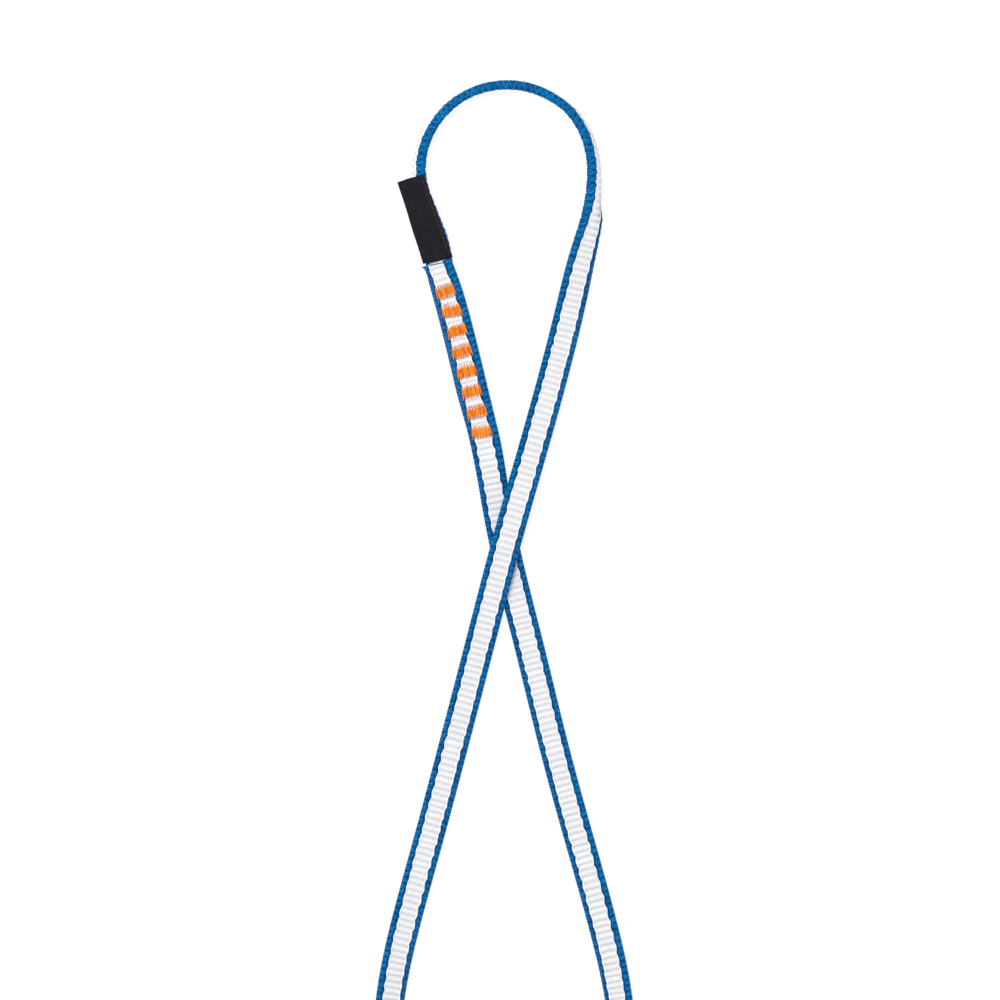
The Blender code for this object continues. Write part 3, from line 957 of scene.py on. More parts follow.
@dataclass
class Ribs:
    """Where the webbing's cross ribs lie along the strip, how high each is and where its white ends.

    Sizes are in metres, but those named _mm are in millimetres and those named _ribs are counted in ribs.
    """

    webbing: Webbing
    pitch: float = 2.15 * MM
    seed: int = 11
    gap_change: float = 0.09
    gap_drift: float = 0.05
    gap_drift_ribs: float = 5.0
    rise_change: float = 0.10
    white_half_width: float = 2.92 * MM
    wave_mm: float = 0.28
    wave_sharpness: float = 0.35
    wave_steady: float = 0.65
    wave_change: float = 0.35
    wave_change_ribs: float = 4.0
    slip: float = 0.15
    slip_ribs: float = 9.0
    slow_stray_mm: float = 0.10
    slow_stray_ribs: float = 2.3
    quick_stray_mm: float = 0.06
    sewn_length: float = 62.0 * MM
    sewn_fade: float = 18.0 * MM
    sewn_narrowing: float = 0.22 * MM

    def __post_init__(self) -> None:
        """Spaces the ribs a little unevenly over the strip, and gives each one its height."""
        self.count = round(self.webbing.strip_length / self.pitch)
        rng = np.random.default_rng(self.seed)
        gaps = 1.0 + self.gap_change * rng.uniform(-1.0, 1.0, self.count)
        gaps += self.gap_drift * wander(np.arange(self.count), self.gap_drift_ribs, self.seed + 1)
        edges = np.concatenate([[0.0], np.cumsum(gaps)])
        self.edges = edges / edges[-1] * self.webbing.strip_length
        self.rise = 1.0 + self.rise_change * rng.uniform(-1.0, 1.0, self.count + 1)

    def distance(self, phase: Array) -> Array:
        """How far along the strip a place is that is counted in ribs."""
        return np.interp(phase, np.arange(self.count + 1), self.edges)

    def height(self, phase: Array) -> Array:
        """How high the rib at this place stands, as a share of the usual height."""
        return self.rise[np.clip(np.floor(phase).astype(int), 0, self.count)]

    def sewn(self, phase: Array, side: Side) -> Array:
        """How broad the joint's stitches press an edge: only the front layer's raised one.

        It is 1 along sewn_length from the cut end and then falls to 0 over sewn_fade.

        Args:
            phase: places along the strip, counted in ribs.
            side: the edge.

        Returns:
            A share from 0 to 1 at each place.
        """
        if side is Side.LOWER:
            return np.zeros_like(phase)
        return 1.0 - ease((self.distance(phase) - self.sewn_length) / self.sewn_fade)

    def boundary(self, phase: Array, side: Side, face: Face) -> Array:
        """How far the white ends from the webbing's middle on one side of one face.

        It is white_half_width - sewn_narrowing where the edge is sewn - wave * (cos(pi * phase) +
        wave_sharpness * sin(2 pi * phase)) - two random lines, a slow one and a quick one. The wave's own
        height and place change slowly too.

        Args:
            phase: places along the strip, counted in ribs.
            side: the edge.
            face: the face.

        Returns:
            The distance from the middle at each place, in metres.
        """
        seed = 40 + 7 * side.value + 3 * face.value
        slipped = self.slip * wander(phase, self.slip_ribs, seed + 1)
        turn = np.pi * (phase - 0.5 * face.value + slipped)
        stray = self.slow_stray_mm * wander(phase, self.slow_stray_ribs, seed)
        stray = stray + self.quick_stray_mm * wander(phase, 1.0, seed + 2)
        saw = np.cos(turn) + self.wave_sharpness * np.sin(2 * turn)
        change = self.wave_change * wander(phase, self.wave_change_ribs, seed + 3)
        wave = self.wave_mm * saw * (self.wave_steady + change)
        narrowing = self.sewn_narrowing * self.sewn(phase, side)
        return self.white_half_width - narrowing - (wave + stray) * MM


@dataclass
class Core:
    """The white middle of the webbing: a flat filling with warp threads over and under it."""

    route: Route
    ribs: Ribs
    warp_count: int = 24
    warp_spacing: float = 0.25 * MM
    warps_per_piece: int = 6
    warp_sides: int = 6
    warp_parts: tuple[float, ...] = (0.0, 0.13, 0.5, 0.87)
    warp_crowns: tuple[float, ...] = (0.0, 0.82, 1.0, 0.82)
    warp_widths: tuple[float, ...] = (0.6, 0.95, 1.0)
    crown_height: float = 1.08 * MM
    crown_change: float = 0.05
    crown_half_width: float = 0.25 * MM
    crown_half_thickness: float = 0.15 * MM
    crossing_thickness: float = 1.25
    warp_stray: float = 0.02 * MM
    crown_stray: float = 0.06 * MM
    # Painted shade and highlight on the warps: darker where they cross between ribs, lighter on their
    # crowns.
    crossing_shade_tone: float = 0.1
    crown_tone: float = 0.9
    filling_half_width: float = 3.62 * MM
    filling_edge: float = 0.3 * MM
    filling_edge_share: float = 0.4
    groove_height: float = 0.62 * MM
    filling_rise: float = 0.26 * MM
    stretched_from_degrees: float = 15.0
    stretched_over_degrees: float = 40.0
    stretched_groove: float = 0.42 * MM
    upright_from_degrees: float = 48.0
    upright_over_degrees: float = 22.0
    upright_groove: float = 0.17 * MM
    # Painted shade in the grooves of the filling, lighter where the webbing leans or stands upright.
    groove_shade_tone: float = 0.22
    stretched_tone: float = 0.58
    upright_tone: float = 0.2
    line_half_width: float = 0.21 * MM
    line_half_thickness: float = 0.16 * MM
    line_height: float = 1.17 * MM
    line_ripple: float = 0.04
    line_inset: float = 0.14 * MM

    def filling(self) -> bpy.types.Object:
        """The flat filling, whose half thickness is groove_height + filling_rise * sin(pi * phase)^2.

        Where the webbing leans, its face is stretched, and the grooves between its ribs are shallower by
        stretched_groove. Where it stands upright they are shallower by upright_groove too. The filling is
        painted with shade in those grooves, less where it leans and where it stands upright.

        Returns:
            The filling's piece.
        """
        rows = np.array([0.0, 0.25, 0.5, 0.75])
        phase = np.append((np.arange(self.ribs.count)[:, None] + rows).ravel(), float(self.ribs.count))
        frames = self.route.strip(self.ribs.distance(phase))
        lean = frames.lean_degrees
        stretched = ease((lean - self.stretched_from_degrees) / self.stretched_over_degrees)
        upright = ease((lean - self.upright_from_degrees) / self.upright_over_degrees)
        thick = self.groove_height + self.filling_rise * np.sin(np.pi * phase) ** 2
        filled = self.stretched_groove * stretched + self.upright_groove * upright
        thick = thick + filled * np.cos(np.pi * phase) ** 2
        edge = self.filling_half_width
        columns = np.linspace(edge - self.filling_edge, -edge + self.filling_edge, 5)
        across = np.concatenate([[edge], columns, [-edge, -edge], columns[::-1], [edge]])
        thin = self.filling_edge_share
        share = np.concatenate([[thin], np.ones(5), [thin, -thin], -np.ones(5), [-thin]])
        local = np.zeros((len(phase), len(across), 3))
        local[..., 1] = across
        local[..., 2] = thick[:, None] * share
        # Painted shade: the filling between the ribs is painted darker, less so where it leans or stands
        # upright.
        tone = self.groove_shade_tone + self.stretched_tone * stretched + self.upright_tone * upright
        mesh = ThreadMesh("webbing_core_filling")
        mesh.add(frames.place(local), tone)
        return thread_piece(mesh, WHITE_FIBRE, ("webbing_core",))

    def warp(
        self, number: int, frames: Frames, phase: Array, along: Array
    ) -> tuple[Array, Array]:
        """One warp thread: it crosses from face to face between the ribs.

        Its height is (-1)^(rib + number) * crown_height * c, where c goes through warp_crowns at the
        warp_parts of a rib, and it is widest on the crowns.

        Args:
            number: which thread it is, from the lower edge.
            frames: the strip's directions at each ring.
            phase: each ring's place, counted in ribs.
            along: each ring's place along the strip.

        Returns:
            The thread's rings in the row frame, and its painted shade tone at each: dark where it crosses
            between ribs, light on its crown.
        """
        rng = np.random.default_rng(500 + number)
        rib = np.floor(phase).astype(int)
        sign = np.where((rib + number) % 2 == 0, 1.0, -1.0)
        crown = np.interp(phase - rib, [*self.warp_parts, 1.0], [*self.warp_crowns, 0.0])
        uneven = 1.0 + self.crown_change * rng.uniform(-1.0, 1.0, self.ribs.count + 1)[rib]
        height = sign * crown * self.crown_height * self.ribs.height(phase) * uneven
        start = -(self.warp_count - 1) / 2 * self.warp_spacing
        across = start + number * self.warp_spacing
        across = across + self.warp_stray * rng.uniform(-1.0, 1.0, len(phase))
        shift = self.crown_stray * rng.uniform(-1.0, 1.0, self.ribs.count + 1)[rib] * crown
        path = np.stack([along + shift, across, height], axis=-1)
        wide = self.crown_half_width * np.interp(crown, self.warp_crowns[:3], self.warp_widths)
        thick = self.crown_half_thickness * np.interp(crown, [0.0, 1.0], [self.crossing_thickness, 1.0])
        rings = swept(path, 1.0, wide, thick, self.warp_sides)
        # Painted shade where the warp dives between ribs, painted light on its crown.
        return frames.place_along(rings, along), self.crossing_shade_tone + self.crown_tone * crown**2

    def warps(self) -> list[bpy.types.Object]:
        """All warp threads, a few to a piece.

        Returns:
            Their pieces.
        """
        parts = np.array(self.warp_parts)
        phase = (np.arange(self.ribs.count)[:, None] + parts).ravel()
        along = self.ribs.distance(phase)
        frames = self.route.strip(along)
        made = []
        for first in range(0, self.warp_count, self.warps_per_piece):
            mesh = ThreadMesh(f"webbing_core_warp_{first // self.warps_per_piece + 1}")
            for number in range(first, first + self.warps_per_piece):
                mesh.add(*self.warp(number, frames, phase, along))
            made.append(thread_piece(mesh, WHITE_FIBRE))
        return made

    def edge_lines(self) -> bpy.types.Object:
        """A plain white thread beside each coloured edge, on both faces, which follows that edge.

        It lies at line_height * (1 + line_ripple * cos(2 pi * phase)), line_inset inside the white's end.

        Returns:
            The piece with all four.
        """
        phase = np.arange(0.0, self.ribs.count + 0.01, 0.5)
        along = self.ribs.distance(phase)
        frames = self.route.strip(along)
        ripple = 1.0 + self.line_ripple * np.cos(2 * np.pi * phase)
        mesh = ThreadMesh("webbing_core_edge_lines")
        for side in Side:
            for face in Face:
                across = side.value * (self.ribs.boundary(phase, side, face) - self.line_inset)
                height = face.value * self.line_height * ripple
                path = np.stack([along, across, height], axis=-1)
                rings = swept(
                    path, face.value, self.line_half_width, self.line_half_thickness, self.warp_sides
                )
                mesh.add(frames.place_along(rings, along))
        return thread_piece(mesh, WHITE_FIBRE)

    def build(self) -> tuple[bpy.types.Object, list[bpy.types.Object]]:
        """Builds the whole core.

        Returns:
            The filling, and the pieces that lie on it.
        """
        return self.filling(), [*self.warps(), self.edge_lines()]


@dataclass
class Selvedge:
    """A coloured edge: three strands of paired yarns plaited round the edge, as one skin over their backs.

    Places round the edge are counted by w, from -1 on the back face to 1 on the front face.
    """

    route: Route
    ribs: Ribs
    side: Side
    node: str
    strands: int = 3
    rows_per_rib: int = 12
    columns: int = 25
    centre: float = 3.60 * MM
    reach_out: float = 1.27 * MM
    reach_up: float = 1.44 * MM
    arc: float = 2.0 * MM
    swing: float = 0.92
    swing_sharpness: float = 0.1
    stray: float = 0.11
    stray_ribs: float = 1.3
    plait_lift: float = 0.11 * MM
    lift_change: float = 0.4
    lift_change_ribs: float = 2.1
    pair_spacing: float = 0.74 * MM
    yarn_half_width: float = 0.42 * MM
    yarn_crown: float = 0.27 * MM
    yarn_floor: float = -0.6
    # Painted shade in the gaps between yarns and painted highlights on the backs of yarns on top;
    # tone_change is a random tone along each yarn.
    gap_shade_tone: float = 0.12
    back_tone: float = 0.30
    over_highlight_tone: float = 0.88
    over_power: float = 2.5
    tone_change: float = 0.4
    tone_change_ribs: float = 0.8
    most_tone: float = 1.4
    outer_calm: float = 0.3
    inner_drop: float = 0.28
    inner_drop_from: float = 0.65
    inner_drop_over: float = 0.35
    # Painted shade beside the white, on both rims of the edge.
    inner_painted_shade: float = 0.5
    inner_dark_from: float = 0.5
    inner_dark_over: float = 0.4
    sewn_spread: float = 0.40 * MM
    wall_height: float = 0.55 * MM
    wall_overlap: float = 0.1 * MM
    # Painted shade on the wall that closes the skin beside the white.
    wall_shade_tone: float = 0.2
    flare: float = 1.1 * MM
    flare_fade: float = 0.8 * MM

    def flared(self, along: Array) -> Array:
        """How far the lower edge's loose end turns out at the cut: flare * exp(-along / flare_fade).

        Args:
            along: places along the strip.

        Returns:
            The distance at each place, which is 0 for the raised edge.
        """
        if self.side is Side.RAISED:
            return np.zeros_like(along)
        return self.flare * np.exp(-along / self.flare_fade)

    def yarns(self, phase: Array, w: Array) -> tuple[Array, Array, Array]:
        """The backs of all yarns over a grid of places.

        With t = 2 pi (phase + strand) / strands, a strand lies at w = swing * (sin t + s * sin 3t) /
        (1 - s), where s is swing_sharpness, and its two yarns half of pair_spacing to either side. A yarn's
        back is plait_lift * sin 2t + yarn_crown * (1 - (d / yarn_half_width)^2), where d is the distance
        from its middle. Its tone is painted shade in the gaps between yarns and a painted highlight on its
        back where its strand lies on top, times a random tone.

        Args:
            phase: each row's place along the strip, counted in ribs.
            w: each column's place round the edge.

        Returns:
            Each yarn's back, the distance from its middle and its painted shade and highlight tone, shaped
            (yarns, rows, columns).
        """
        backs, distances, tones = [], [], []
        for number in range(self.strands):
            turn = 2 * np.pi * (phase + number) / self.strands
            seed = 90 + 10 * self.side.value + number
            swung = np.sin(turn) + self.swing_sharpness * np.sin(3 * turn)
            middle = self.swing * swung / (1.0 - self.swing_sharpness)
            middle = middle + self.stray * wander(phase, self.stray_ribs, seed)
            slope = np.gradient(middle, phase) * self.arc / self.ribs.pitch
            cosine = 1.0 / np.sqrt(1.0 + slope**2)
            change = self.lift_change * wander(phase, self.lift_change_ribs, seed + 30)
            lift = self.plait_lift * np.sin(2 * turn) * (1.0 + change)
            over = 0.5 + 0.5 * np.sin(2 * turn)[:, None]
            for place in (-0.5, 0.5):
                at = middle + place * self.pair_spacing / (self.arc * cosine)
                distance = (w[None, :] - at[:, None]) * self.arc * cosine[:, None]
                crown = 1.0 - (distance / self.yarn_half_width) ** 2
                backs.append(lift[:, None] + self.yarn_crown * np.maximum(crown, self.yarn_floor))
                distances.append(distance)
                crown = np.clip(crown, 0.0, 1.0)
                # Painted shade in the gaps and painted highlights on the backs of the yarns on top, times a
                # random tone.
                shade = self.gap_shade_tone + self.back_tone * crown
                shade = shade + self.over_highlight_tone * (over * crown) ** self.over_power
                light = wander(phase, self.tone_change_ribs, seed + int(70 + place * 6))
                tones.append(shade * (1.0 + self.tone_change * light)[:, None])
        return np.array(backs), np.array(distances), np.array(tones)

    def skin(self, first: int, last: int) -> tuple[Array, Array, Array]:
        """The skin: the highest yarn's back everywhere, round the edge and closed beside the white.

        A point at w lies at the angle 90 degrees * w. It is centre * (1 - w^2) + the white's end * w^2 +
        (reach_out + back) * cos(angle) from the webbing's middle and (reach_up + back) * sin(angle) high,
        less up to inner_drop of that beside the white, where painted shade darkens it by up to the inner
        shade share too. The wall that closes it beside the white is painted with shade. Where the joint is
        sewn, reach_out is more by sewn_spread.

        Args:
            first: the rib that it starts at.
            last: the rib that it ends at.

        Returns:
            Its rings in the row frame, its painted shade and highlight tone at each point, and where each
            face corner lies across and along the yarn that it shows, in millimetres.
        """
        phase = first + np.arange((last - first) * self.rows_per_rib + 1) / self.rows_per_rib
        along = self.ribs.distance(phase)
        w = np.linspace(1.0, -1.0, self.columns)
        backs, distances, tones = self.yarns(phase, w)
        top = backs.argmax(axis=0)
        back = backs.max(axis=0)
        tone = np.take_along_axis(tones, top[None], axis=0)[0]
        # Painted shade: darker towards the white on both faces.
        dark = self.inner_painted_shade * ease((np.abs(w) - self.inner_dark_from) / self.inner_dark_over)
        tone = tone * (1.0 - dark)
        front, rear = (
            self.ribs.boundary(phase, self.side, face)[:, None] for face in (Face.FRONT, Face.BACK)
        )
        inner = np.where(w > 0, front, rear)
        angle = np.pi / 2 * w
        back = back * (1.0 - self.outer_calm * np.cos(angle) ** 2)
        reach = self.reach_out + self.sewn_spread * self.ribs.sewn(phase, self.side)[:, None]
        across = self.centre * (1 - w**2) + inner * w**2 + (reach + back) * np.cos(angle)
        drop = self.inner_drop * ease((np.abs(w) - self.inner_drop_from) / self.inner_drop_over)
        height = (self.reach_up + back) * np.sin(angle) * (1.0 - drop)
        wall = np.concatenate([rear, front], axis=1) + self.wall_overlap
        across = np.concatenate([across, wall], axis=1) + self.flared(along)[:, None]
        level = np.tile([-self.wall_height, self.wall_height], (len(phase), 1))
        height = np.concatenate([height, level], axis=1)
        # Painted shade: the wall beside the white gets a low fixed tone.
        tone = np.concatenate([tone, np.full((len(phase), 2), self.wall_shade_tone)], axis=1)
        local = np.stack([np.zeros_like(across), self.side.value * across, height], axis=-1)
        rings = self.route.strip(along).place(local)
        return rings, np.clip(tone, 0.0, self.most_tone), self.lay(backs, distances, along)

    def lay(self, backs: Array, distances: Array, along: Array) -> Array:
        """Where each face corner lies across and along the yarn that its face shows.

        Args:
            backs: each yarn's back, shaped (yarns, rows, columns).
            distances: the distance from its middle, of the same shape.
            along: each row's place along the strip.

        Returns:
            Two numbers per corner in millimetres, shaped (rows - 1, sides, 4, 2).
        """
        corners = ((0, 0), (0, 1), (1, 1), (1, 0))
        rows, columns = backs.shape[1:]

        def corner_of(grid: Array, down: int, over: int) -> Array:
            """One corner of every face, read from a grid of points."""
            return grid[..., down : rows - 1 + down, over : columns - 1 + over]

        top = sum(corner_of(backs, *corner) for corner in corners).argmax(axis=0)[None]
        found = np.zeros((rows - 1, columns + 2, 4, 2))
        for number, (down, over) in enumerate(corners):
            near = np.take_along_axis(corner_of(distances, down, over), top, axis=0)[0]
            found[:, : columns - 1, number, 0] = near / MM + YARN_STEP * top[0]
            found[:, columns - 1 :, number, 0] = np.arange(3) + over
            found[..., number, 1] = (along[down : rows - 1 + down] / MM)[:, None]
        return found

    def build(self) -> list[bpy.types.Object]:
        """Builds the edge in two lengths, which meet in the half that the photograph doesn't show.

        Returns:
            Its pieces.
        """
        made = []
        half = self.ribs.count // 2
        for number, (first, last) in enumerate(((0, half), (half, self.ribs.count)), 1):
            rings, tone, lay = self.skin(first, last)
            mesh = ThreadMesh(f"{self.node}_plait_{number}")
            mesh.add(rings, tone, lay=lay)
            made.append(thread_piece(mesh, BLUE_FIBRE, (self.node,)))
        return made


@dataclass
class BarTacks:
    """The bar tacks of the joint: zigzag stitches from needle hole to needle hole, on both faces."""

    route: Route
    stitches: int = 16
    width: float = 6.95 * MM
    reach: float = 4.75 * MM
    under_reach: float = 2.6 * MM
    half_width: float = 0.185 * MM
    half_thickness: float = 0.18 * MM
    surface: float = 2.95 * MM
    pass_gap: float = 0.22 * MM
    lie_change: float = 0.06 * MM
    hole_depth: float = 1.0 * MM
    hole_change: tuple[float, float] = (0.20 * MM, 0.05 * MM)
    sway: float = 0.05 * MM
    skew: float = 0.10
    tone_range: tuple[float, float] = (0.2, 1.3)
    back_shift: float = 0.7 * MM
    sides: int = 6

    def stitch(self, start: Array, end: Array, top: float, face: Face, rng: np.random.Generator) -> Array:
        """One stitch, from hole to hole: it dives at both ends as |2t - 1|^14.

        Args:
            start: its first hole, along and across the webbing.
            end: its last hole.
            top: how high it lies.
            face: the face that it lies on.
            rng: where its unevenness comes from.

        Returns:
            Its rings in the tack's own directions.
        """
        t = np.linspace(0.0, 1.0, 9)
        t = 0.5 - 0.5 * np.cos(np.pi * t) * (1 - 0.25 * np.sin(np.pi * t) ** 2)
        dive = np.abs(2 * t - 1) ** 14
        sway = self.sway * rng.uniform(-1.0, 1.0) * np.sin(np.pi * t)
        flat = start + (end - start) * t[:, None]
        height = face.value * (top - self.hole_depth * dive)
        path = np.stack([flat[:, 0], flat[:, 1] + sway, height], axis=-1)
        wide = self.half_width * (1.0 - 0.5 * np.abs(2 * t - 1) ** 4)
        return swept(path, face.value, wide, self.half_thickness, self.sides)

    def stitches_of(self, face: Face, rng: np.random.Generator) -> list[tuple[Array, float]]:
        """One face of a tack: an under pass of shorter stitches, and the zigzag over it.

        Args:
            face: the face.
            rng: where its unevenness comes from.

        Returns:
            The rings of every stitch in the tack's own directions, and its tone.
        """
        found = []
        passes = (
            (self.under_reach, self.surface, 0.5, self.stitches - 1),
            (self.reach, self.surface + self.pass_gap, 0.0, self.stitches),
        )
        for reach, top, offset, count in passes:
            step = self.width / self.stitches
            across = (np.arange(count + 1) + offset - self.stitches / 2) * step
            end = np.where(np.arange(count + 1) % 2 == 0, 1.0, -1.0)
            holes = np.stack([end * reach / 2, across], axis=-1)
            for axis, change in enumerate(self.hole_change):
                holes[:, axis] += change * rng.uniform(-1.0, 1.0, count + 1)
            for first, last in zip(holes[:-1], holes[1:]):
                lie = top + self.lie_change * rng.uniform(-1.0, 1.0)
                found.append((self.stitch(first, last, lie, face, rng), rng.uniform(*self.tone_range)))
        return found

    def build(self) -> list[bpy.types.Object]:
        """Builds every tack, one piece each, with the stitches of the front and of the back.

        Each tack leans a little: its stitches are moved along the webbing by their place across it times a
        random number up to skew.

        Returns:
            The tacks' pieces.
        """
        size = self.route.webbing
        made = []
        for number in range(size.tack_count):
            rng = np.random.default_rng(700 + number)
            frames = self.route.layer(np.array([size.first_tack + number * size.tack_pitch]))
            frames.middle = frames.middle + frames.outwards * size.layer_pitch / 2
            skew = self.skew * rng.uniform(-1.0, 1.0)
            mesh = ThreadMesh(f"bar_tack_{number + 1}_stitches")
            for face, shift in ((Face.FRONT, size.front_shift), (Face.BACK, -self.back_shift)):
                for rings, tone in self.stitches_of(face, rng):
                    rings[..., 0] += rings[..., 1] * skew
                    rings[..., 1] += shift
                    mesh.add(frames.place_one(rings), tone)
            made.append(thread_piece(mesh, ORANGE_THREAD, (f"bar_tack_{number + 1}",)))
        return made


@dataclass
class Label:
    """The folded ribbon label that is sewn on beside the joint."""

    route: Route
    length: float = 30.0 * MM
    width: float = 10.2 * MM
    thickness: float = 0.9 * MM
    ply: float = 0.32 * MM
    lean_degrees: float = 25.0
    from_cut_end: float = 1.2 * MM
    margin_width: float = 1.7 * MM
    hinge_clearance: float = 0.15 * MM
    stitch_count: int = 12
    stitch_inset: float = 1.4 * MM
    slide: float = 0.6 * MM
    askew_upper: tuple[float, float] = (0.60 * MM, 0.34 * MM)
    askew_lower: tuple[float, float] = (-0.27 * MM, 0.78 * MM)
    corner_slide: float = 0.45
    probes: int = 15
    row_counts: tuple[int, ...] = (5, 17, 18)
    row_ends: tuple[float, ...] = (-0.8 * MM, -0.7 * MM, 0.9 * MM, 1.3 * MM)
    last_row: float = 0.1 * MM
    upper_wave: float = 0.16 * MM
    upper_wave_run: float = 2.4 * MM
    lower_wave: float = 0.13 * MM
    lower_wave_run: float = 3.1 * MM
    wave_power: int = 8
    free_from: float = 0.5 * MM
    free_over: float = 6.0 * MM
    bow: float = 0.12 * MM
    bow_turn: float = 1.7
    bow_start: float = 0.6
    ripple: float = 0.05 * MM
    ripple_run: float = 3.0 * MM
    blend_from: float = -0.5 * MM
    blend_to: float = 0.7 * MM
    seam_half_width: float = 0.17 * MM
    seam_half_thickness: float = 0.15 * MM
    seam_sides: int = 6
    seam_rise: float = 0.12 * MM
    seam_depth: float = 1.4 * MM
    seam_towards_edge: float = 0.25 * MM
    seam_stray: float = 0.05 * MM

    def frame(self) -> tuple[Array, Array, Array, Array]:
        """The label's placing, as in the part's source.

        Returns:
            Its middle on the line it folds about, then the directions to its free edge, along its fold
            and out of its face.
        """
        size = self.route.webbing
        ends = np.array([-self.from_cut_end - self.length, -self.from_cut_end])
        reach = size.edge_centre + size.thickness / 2 - size.selvedge_width / 2
        under = self.route.layer(ends)
        low, high = under.middle + under.across * reach
        hinge = unit(high - low)
        sideways = unit(np.cross(UP, hinge))
        lean = math.radians(self.lean_degrees)
        leaning = UP * math.cos(lean) - sideways * math.sin(lean)
        face = unit(leaning - hinge * (leaning @ hinge))
        probed = self.route.layer(np.linspace(ends[0], ends[1], self.probes))
        heights = (probed.middle - low) @ face
        heights += size.edge_centre * np.abs(probed.across @ face) + size.thickness / 2
        middle = (low + high) / 2
        middle = middle + face * (heights.max() + size.clearance - (middle - low) @ face)
        return middle, np.cross(hinge, face), hinge, face

    def profile(self) -> tuple[Array, Array]:
        """The ribbon seen from its end: out along the lower ply, round the fold and back on the upper.

        Its rows stand closest beside the line that it folds about, from the second of row_ends to the third.

        Returns:
            Its points as (towards the free edge, out of the face), and the direction out of the ribbon.
        """
        radius = (self.thickness - self.ply) / 2
        turn = self.width - self.margin_width - radius - self.ply / 2
        ends = (-self.margin_width, *self.row_ends, turn - self.last_row)
        spans = zip(ends[::2], ends[1::2], self.row_counts)
        straight = np.concatenate([np.linspace(*span) for span in spans])
        bend = np.linspace(-np.pi / 2, np.pi / 2, 9)
        x = np.concatenate([straight, turn + radius * np.cos(bend), straight[::-1]])
        low = np.full(len(straight), -radius)
        z = np.concatenate([low, radius * np.sin(bend), -low]) + self.thickness / 2
        out_x = np.concatenate([0 * low, np.cos(bend), 0 * low])
        out_z = np.concatenate([0 * low - 1, np.sin(bend), 0 * low + 1])
        return np.stack([x, z], axis=-1), np.stack([out_x, out_z], axis=-1)

    def ribbon(self) -> bpy.types.Object:
        """The ribbon: its profile carried along the fold, with cut ends that wave a little.

        It is sewn on a little askew: the seam's edge and the free edge are moved towards the free side by
        askew_upper at the label's upper end and askew_lower at its lower end, and the ribbon lies slide
        nearer to the cut end, least so at its lower free corner.

        Returns:
            Its piece.
        """
        middle, free_edge, hinge, face = self.frame()
        profile, out = self.profile()
        steps = np.linalg.norm(np.diff(profile, axis=0), axis=1)
        run = np.concatenate([[0.0], np.cumsum(steps)])
        share = np.linspace(-1.0, 1.0, 61)
        share = share[:, None]
        at_end = share**self.wave_power
        wave = self.upper_wave * wander(run, self.upper_wave_run, 3) * (share > 0) * at_end
        wave = wave - self.lower_wave * wander(run, self.lower_wave_run, 4) * (share < 0) * at_end
        part = (profile[:, 0] + self.margin_width) / self.width
        y = self.length / 2 * share + wave
        y = y + self.slide * (1.0 - self.corner_slide * part * (1.0 + share))
        free = ease((profile[:, 0] - self.free_from) / self.free_over)
        bow = self.bow * free * np.sin(self.bow_turn * np.pi * share + self.bow_start)
        bow = bow + self.ripple * free * wander((share + 1) * self.length / 2, self.ripple_run, 5)
        upper = self.askew_upper[0] * (1 - part) + self.askew_upper[1] * part
        lower = self.askew_lower[0] * (1 - part) + self.askew_lower[1] * part
        x = profile[:, 0] + (upper + lower) / 2 + (lower - upper) / 2 * share
        z = profile[:, 1] + bow
        mid = middle + x[..., None] * free_edge + y[..., None] * hinge + z[..., None] * face
        outwards = out[:, 0:1] * free_edge + out[:, 1:2] * face
        points, faces = plate(mid, np.broadcast_to(outwards, mid.shape), self.ply)
        u = np.broadcast_to(run, x.shape) / MM
        places = np.stack([u, y / MM], axis=-1).reshape(-1, 2)
        places = np.concatenate([places, places])
        made = new_object(
            "label_ribbon",
            points,
            faces.ravel(),
            np.full(len(faces), 4),
            {THREAD_MAP: places[faces.ravel()]},
            np.ones(len(points)),
        )
        dress(made, BLACK_RIBBON, ("label_leaf", "label_margin"))
        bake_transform(made)
        return made

    def stitches(self) -> bpy.types.Object:
        """The seam down the margin: stitches that dive through the ribbon into the webbing's edge.

        A stitch lies at thickness + seam_rise - seam_depth * |2t - 1|^10 over the label's foot.

        Returns:
            Its piece.
        """
        middle, free_edge, hinge, face = self.frame()
        span = self.length - 2 * self.stitch_inset
        holes = np.linspace(-span / 2, span / 2, self.stitch_count + 1)
        across = -(self.margin_width + self.hinge_clearance) / 2 - self.seam_towards_edge
        top = self.thickness + self.seam_rise
        mesh = ThreadMesh("label_seam")
        rng = np.random.default_rng(33)
        for first, last in zip(holes[:-1], holes[1:]):
            t = np.linspace(0.0, 1.0, 11)
            dive = np.abs(2 * t - 1) ** 10
            y = self.slide + first + (last - first) * t
            share = y / self.length
            askew = self.askew_upper[0] * (0.5 - share) + self.askew_lower[0] * (0.5 + share)
            x = across + askew + self.seam_stray * rng.uniform(-1.0, 1.0)
            path = np.stack([y, x, top - self.seam_depth * dive], axis=-1)
            rings = swept(path, 1.0, self.seam_half_width, self.seam_half_thickness, self.seam_sides)
            mesh.add(middle + rings[..., 0:1] * hinge + rings[..., 1:2] * free_edge + rings[..., 2:3] * face)
        return thread_piece(mesh, DARK_THREAD, ("label_stitches",))

    def build(self) -> list[bpy.types.Object]:
        """The ribbon's piece and its seam's."""
        return [self.ribbon(), self.stitches()]


